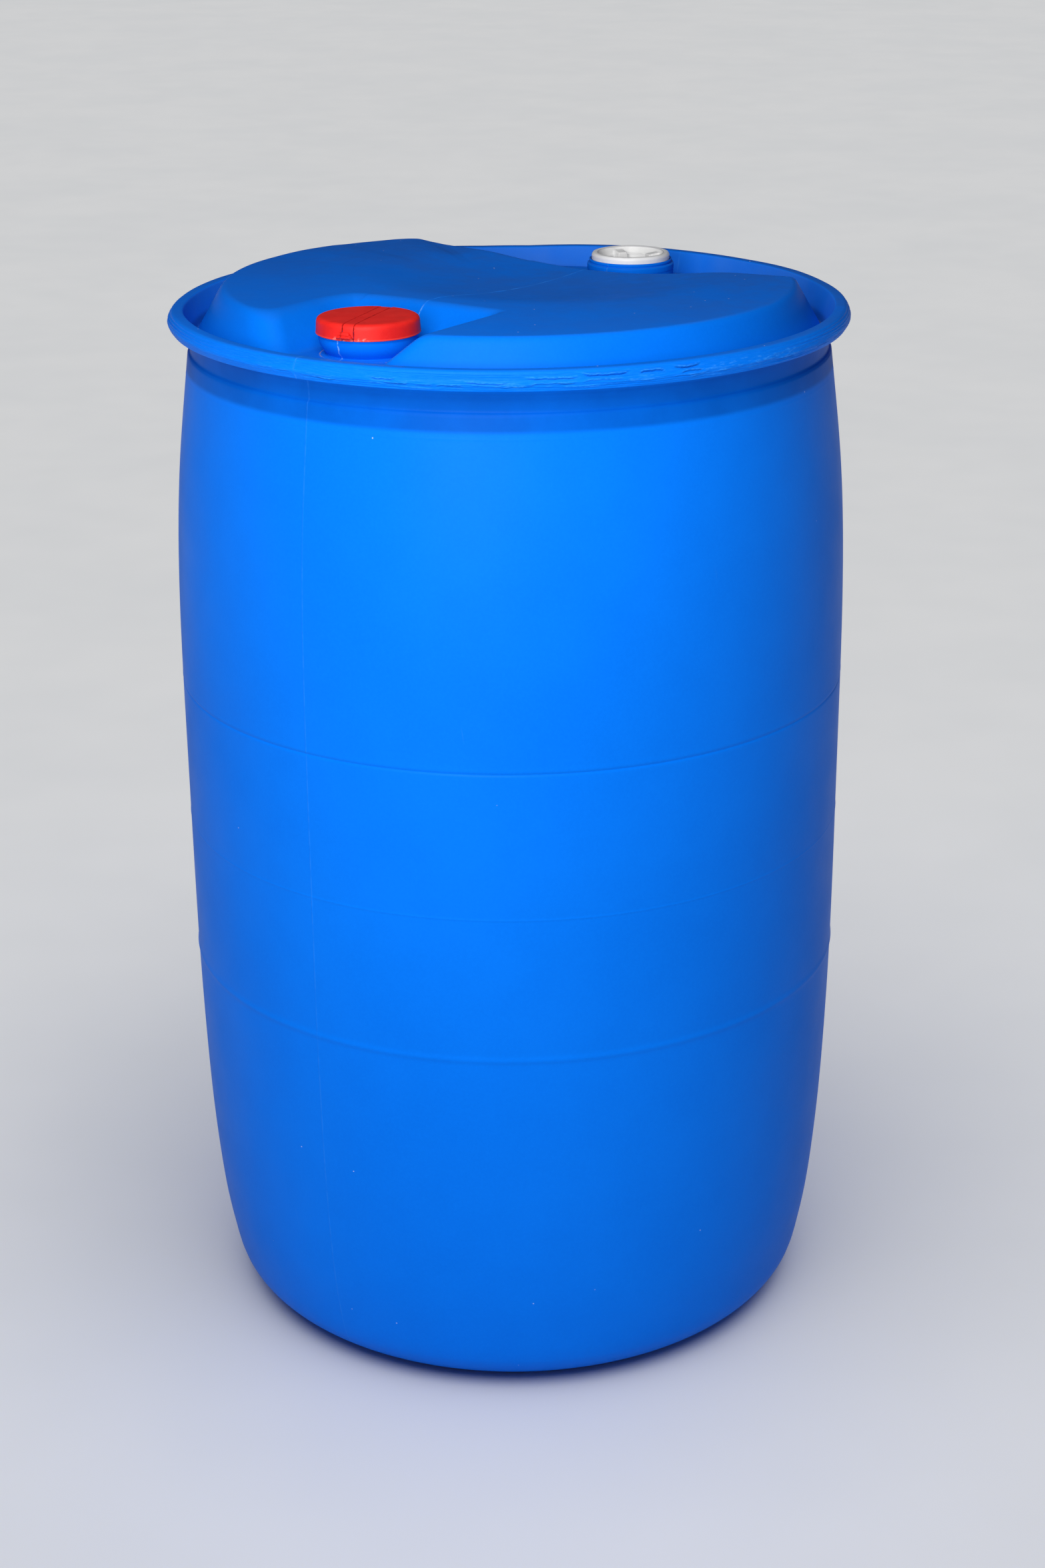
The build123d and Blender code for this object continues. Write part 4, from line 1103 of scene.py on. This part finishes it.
    # thin vertical and slanting scuffs on the barrel
    sv_ = g.combine(g.math("ADD", s, g.math("MULTIPLY", g.z, 0.12)), g.math("MULTIPLY", g.z, 0.05), 0.0)
    scr = g.noise(sv_, 330.0, 2.0, 0.5)
    gate = g.ramp(g.noise(g.P, 7.0, 2.0), 0.60, 0.70)
    scuff = g.math("MULTIPLY", g.ramp(scr, 0.72, 0.78), gate)
    scuff = g.math("MULTIPLY", scuff, g.math("SUBTRACT", 1.0, head))
    col = g.mix(g.math("MULTIPLY", scuff, 0.25), col, (0.05, 0.27, 0.86, 1))
    g.set(Base_Color=col)
    rough = g.ramp(g.noise(g.P, 14.0, 5.0, 0.6), 0.3, 0.7, 0.40, 0.50, smooth=False)
    rough = g.math("ADD", rough, g.math("ADD", g.math("MULTIPLY", dust, 0.18), g.math("MULTIPLY", dirt, 0.3)))
    rough = g.math("ADD", rough, g.math("MULTIPLY", sc, -0.08), clamp=True)
    g.set(Roughness=rough)
    g.b.inputs["IOR"].default_value = 1.5
    g.b.inputs["Specular IOR Level"].default_value = 0.03
    g.bump(g.math("ADD", g.math("MULTIPLY", g.noise(g.P, 700.0, 2.0), 0.6), g.math("ADD", g.math("MULTIPLY", g.noise(g.P, 160.0, 3.0), 0.8), g.math("MULTIPLY", sc, 1.5))), 0.30, 0.00022)
    return g.m


def red_cap():
    g = Graph("cap_red_pp")
    big = g.noise(g.P, 60.0, 4.0)
    col = g.mix(g.ramp(big, 0.3, 0.7), (0.70, 0.0125, 0.010, 1), (0.80, 0.018, 0.0135, 1))
    fine = g.noise(g.P, 900.0, 2.0)
    col = g.mix(g.ramp(fine, 0.35, 0.7, 0.0, 0.18), col, (0.78, 0.035, 0.028, 1))
    # painted shade: darker red beside the two score lines, where the strip meets the cap
    fx, fy = -float(FRONT_C[0]) * MM, -float(FRONT_C[1]) * MM
    n_ = g.math("ADD", g.math("MULTIPLY", g.math("ADD", g.x, fx), math.sin(STRIP_A)), g.math("MULTIPLY", g.math("ADD", g.y, fy), -math.cos(STRIP_A)))
    d1 = g.math("ABSOLUTE", g.math("ADD", n_, -STRIP_N0 * MM))
    d2 = g.math("ABSOLUTE", g.math("SUBTRACT", n_, STRIP_N1 * MM))
    near = g.ramp(g.math("MINIMUM", d1, d2), 0.0002, 0.0013, 1.0, 0.0)
    col = g.mix(g.math("MULTIPLY", near, g.ramp(g.noise(g.P, 180.0, 3.0), 0.4, 0.65, 0.2, 0.7)), col, (0.26, 0.004, 0.005, 1))
    sepn = g.node("ShaderNodeSeparateXYZ", {0: g.N})
    dust = g.math("MULTIPLY", g.ramp(sepn.outputs[2], 0.7, 0.98), g.ramp(g.noise(g.P, 38.0, 5.0, 0.65), 0.42, 0.72, 0.0, 0.22))
    col = g.mix(dust, col, (0.58, 0.045, 0.036, 1))
    low = g.ramp(g.z, 0.9211, 0.9216, 0.45, 0.0)
    col = g.mix(low, col, (0.90, 0.075, 0.060, 1))
    # pale scuffs low on the skirt, beside the tab
    scuff = g.math("MULTIPLY", g.ramp(g.z, 0.9206, 0.9236, 1.0, 0.0), g.ramp(g.noise(g.P, 260.0, 3.0), 0.52, 0.64))
    beside = g.math("MULTIPLY", g.ramp(g.math("ABSOLUTE", g.math("ADD", n_, -0.002)), 0.010, 0.018, 1.0, 0.0), g.math("LESS_THAN", g.y, -0.175))
    col = g.mix(g.math("MULTIPLY", g.math("MULTIPLY", scuff, beside), 0.55), col, (0.85, 0.50, 0.45, 1))
    g.set(Base_Color=col)
    g.set(Roughness=g.math("ADD", g.ramp(g.noise(g.P, 50.0, 4.0), 0.3, 0.7, 0.44, 0.56, smooth=False), g.math("MULTIPLY", dust, 0.3), clamp=True))
    g.b.inputs["Specular IOR Level"].default_value = 0.20
    g.bump(g.math("ADD", g.noise(g.P, 1300.0, 2.0), g.math("MULTIPLY", g.noise(g.P, 240.0, 2.0), 0.6)), 0.35, 0.00012)
    return g.m


def white_plug():
    g = Graph("plug_white_pp")
    col = g.mix(g.ramp(g.noise(g.P, 70.0, 4.0), 0.3, 0.7), (0.74, 0.745, 0.76, 1), (0.83, 0.83, 0.84, 1))
    rp = g.math("SQRT", g.math("ADD", g.math("POWER", g.math("SUBTRACT", g.x, float(REAR_C[0]) * MM), 2.0), g.math("POWER", g.math("SUBTRACT", g.y, float(REAR_C[1]) * MM), 2.0)))
    rq = g.math("SQRT", g.math("ADD", g.math("POWER", g.math("SUBTRACT", g.x, float(FRONT_C[0]) * MM), 2.0), g.math("POWER", g.math("SUBTRACT", g.y, float(FRONT_C[1]) * MM), 2.0)))
    rr_ = g.math("MINIMUM", rp, rq)
    # painted shade: a dark ring along the small step at the rim of each plug's socket
    line = g.ramp(g.math("ABSOLUTE", g.math("SUBTRACT", rr_, 0.0298)), 0.0002, 0.0007, 1.0, 0.0)
    grime = g.ramp(g.noise(g.P, 140.0, 5.0, 0.65), 0.56, 0.74, 0.0, 0.20)
    low = g.ramp(g.z, 0.9150, 0.9210, 1.0, 0.15)
    col = g.mix(g.math("MULTIPLY", grime, low), col, (0.42, 0.40, 0.38, 1))
    col = g.mix(g.math("MULTIPLY", line, 0.45), col, (0.20, 0.20, 0.26, 1))
    g.set(Base_Color=col)
    g.set(Roughness=g.ramp(g.noise(g.P, 90.0, 4.0), 0.3, 0.7, 0.34, 0.48, smooth=False))
    g.b.inputs["Specular IOR Level"].default_value = 0.45
    g.bump(g.noise(g.P, 900.0, 2.0), 0.30, 0.0001)
    return g.m


def rubber():
    g = Graph("gasket_rubber")
    col = g.mix(g.ramp(g.noise(g.P, 180.0, 4.0), 0.3, 0.7), (0.022, 0.022, 0.024, 1), (0.045, 0.044, 0.045, 1))
    g.set(Base_Color=col)
    g.set(Roughness=g.ramp(g.noise(g.P, 220.0, 3.0), 0.3, 0.7, 0.55, 0.72, smooth=False))
    g.bump(g.noise(g.P, 1200.0, 2.0), 0.35, 0.0001)
    return g.m


blue, red, white, black = hdpe_blue(), red_cap(), white_plug(), rubber()


def dress(ob, m):
    ob.data.materials.clear()
    ob.data.materials.append(m)


for ob in (drum, front_neck, rear_neck):
    dress(ob, blue)
    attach(ob, "drum")
    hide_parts("drum_shell")


for ob, m, body, slot_, node in ((front_plug_piece, white, "front_screw", "plug_white", "front_plug"), (rear_plug_piece, white, "rear_screw", "plug_white", "rear_plug"),
                                 (cap_piece, red, "cap", "cap_red", "overcap"), (strip_piece, red, "strip", "cap_red", "tear_strip")):
    dress(ob, m)
    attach(ob, body)
    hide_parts(node)


def dress_node(name, m):
    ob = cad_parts[name]
    if not ob.data.materials:
        ob.data.materials.append(m)
    for i in range(len(ob.data.materials)):
        ob.data.materials[i] = m


for name, m in (("front_plug_gasket", black), ("rear_plug_gasket", black)):
    dress_node(name, m)

# ---------------------------------------------------------------------------
# floor, light and camera
# ---------------------------------------------------------------------------
fm = Graph("studio_floor")
fcol = fm.mix(fm.ramp(fm.noise(fm.P, 2.0, 3.0), 0.3, 0.7), (0.86, 0.865, 0.87, 1), (0.89, 0.89, 0.89, 1))
fm.set(Base_Color=fcol)
fm.set(Roughness=fm.ramp(fm.noise(fm.P, 8.0, 3.0), 0.3, 0.7, 0.75, 0.85, smooth=False))
bpy.ops.mesh.primitive_plane_add(size=90.0, location=(0, 10, 0))
floor = bpy.context.object
floor.name = "studio_floor"
floor.data.materials.append(fm.m)

world = bpy.data.worlds.new("studio")
bpy.context.scene.world = world
world.use_nodes = True
bg = world.node_tree.nodes["Background"]
bg.inputs[0].default_value = (0.80, 0.88, 1.0, 1)
bg.inputs[1].default_value = 0.075


def sun(name, direction, energy, angle, colour=(1, 1, 1)):
    d = bpy.data.lights.new(name, "SUN")
    d.energy = energy
    d.angle = math.radians(angle)
    d.color = colour
    o = bpy.data.objects.new(name, d)
    bpy.context.scene.collection.objects.link(o)
    o.rotation_mode = "QUATERNION"
    o.rotation_quaternion = Vector(direction).to_track_quat("-Z", "Y")
    return o


def towards(az, el):
    """Direction of light coming from azimuth az (0 = from -Y, positive to -X) and elevation el."""
    a, e = math.radians(az), math.radians(el)
    return Vector((math.sin(a) * math.cos(e), math.cos(a) * math.cos(e), -math.sin(e)))


def panel(name, place, aim, size, energy, colour):
    """A soft rectangular studio panel."""
    d = bpy.data.lights.new(name, "AREA")
    d.shape = "RECTANGLE"
    d.size, d.size_y = size
    d.energy = energy
    d.color = colour
    o = bpy.data.objects.new(name, d)
    bpy.context.scene.collection.objects.link(o)
    o.location = place
    o.rotation_mode = "QUATERNION"
    o.rotation_quaternion = (Vector(aim) - Vector(place)).to_track_quat("-Z", "Y")
    o.visible_camera = False
    return o


# the panels and the top light fall on the drum only, and the floor has its own, as in a studio with flagged lights
lit = bpy.data.collections.new("drum_lit")
for ob in [drum, front_neck, rear_neck, front_plug_piece, rear_plug_piece, cap_piece, strip_piece] + list(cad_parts.values()):
    lit.objects.link(ob)
ground = bpy.data.collections.new("floor_lit")
ground.objects.link(floor)


def only(light, group):
    light.light_linking.receiver_collection = group
    return light


only(panel("key_low", (-0.35, -1.60, 1.20), (0.0, 0.0, 0.75), (0.6, 0.6), 16.8, (1.0, 0.985, 0.95)), lit)
only(panel("key_high", (-0.25, -1.25, 1.85), (0.0, 0.0, 0.75), (0.8, 0.6), 15.0, (1.0, 0.985, 0.95)), lit)
only(sun("top", towards(0, 75), 0.40, 60.0), lit)
# this one only reaches the side away from the camera, so that the back can be judged too
only(sun("back", towards(180, -14), 1.0, 4.0, (0.93, 0.97, 1.0)), lit).light_linking.blocker_collection = lit
only(sun("floor_light", towards(0, 75), 2.2, 60.0), ground)

cam_data = bpy.data.cameras.new("camera")
cam = bpy.data.objects.new("camera", cam_data)
bpy.context.scene.collection.objects.link(cam)
bpy.context.scene.camera = cam
F_PX = 4108.6
pitch, yaw, roll = math.radians(20.655), math.radians(0.446), math.radians(-0.341)
fwd = Vector((math.sin(yaw) * math.cos(pitch), math.cos(yaw) * math.cos(pitch), -math.sin(pitch)))
right = Vector((math.cos(yaw), -math.sin(yaw), 0.0))
up = right.cross(fwd)
r2 = math.cos(roll) * right + math.sin(roll) * up
u2 = -math.sin(roll) * right + math.cos(roll) * up
rot = Matrix((r2, u2, -fwd)).transposed()
cam.matrix_world = Matrix.Translation(Vector((0, -2.3327, 1.3588))) @ rot.to_4x4()
cam_data.sensor_fit = "AUTO"
cam_data.sensor_width = 36.0
cam_data.lens = F_PX * 36.0 / 2352.0
cam_data.shift_x = -16.15 / 2352.0
cam_data.shift_y = -12.33 / 2352.0
cam_data.dof.use_dof = False
cam_data.clip_start, cam_data.clip_end = 0.05, 200.0

bpy.context.scene.view_settings.view_transform = "Standard"
bpy.context.scene.view_settings.look = "None"
bpy.context.scene.view_settings.exposure = 0.0
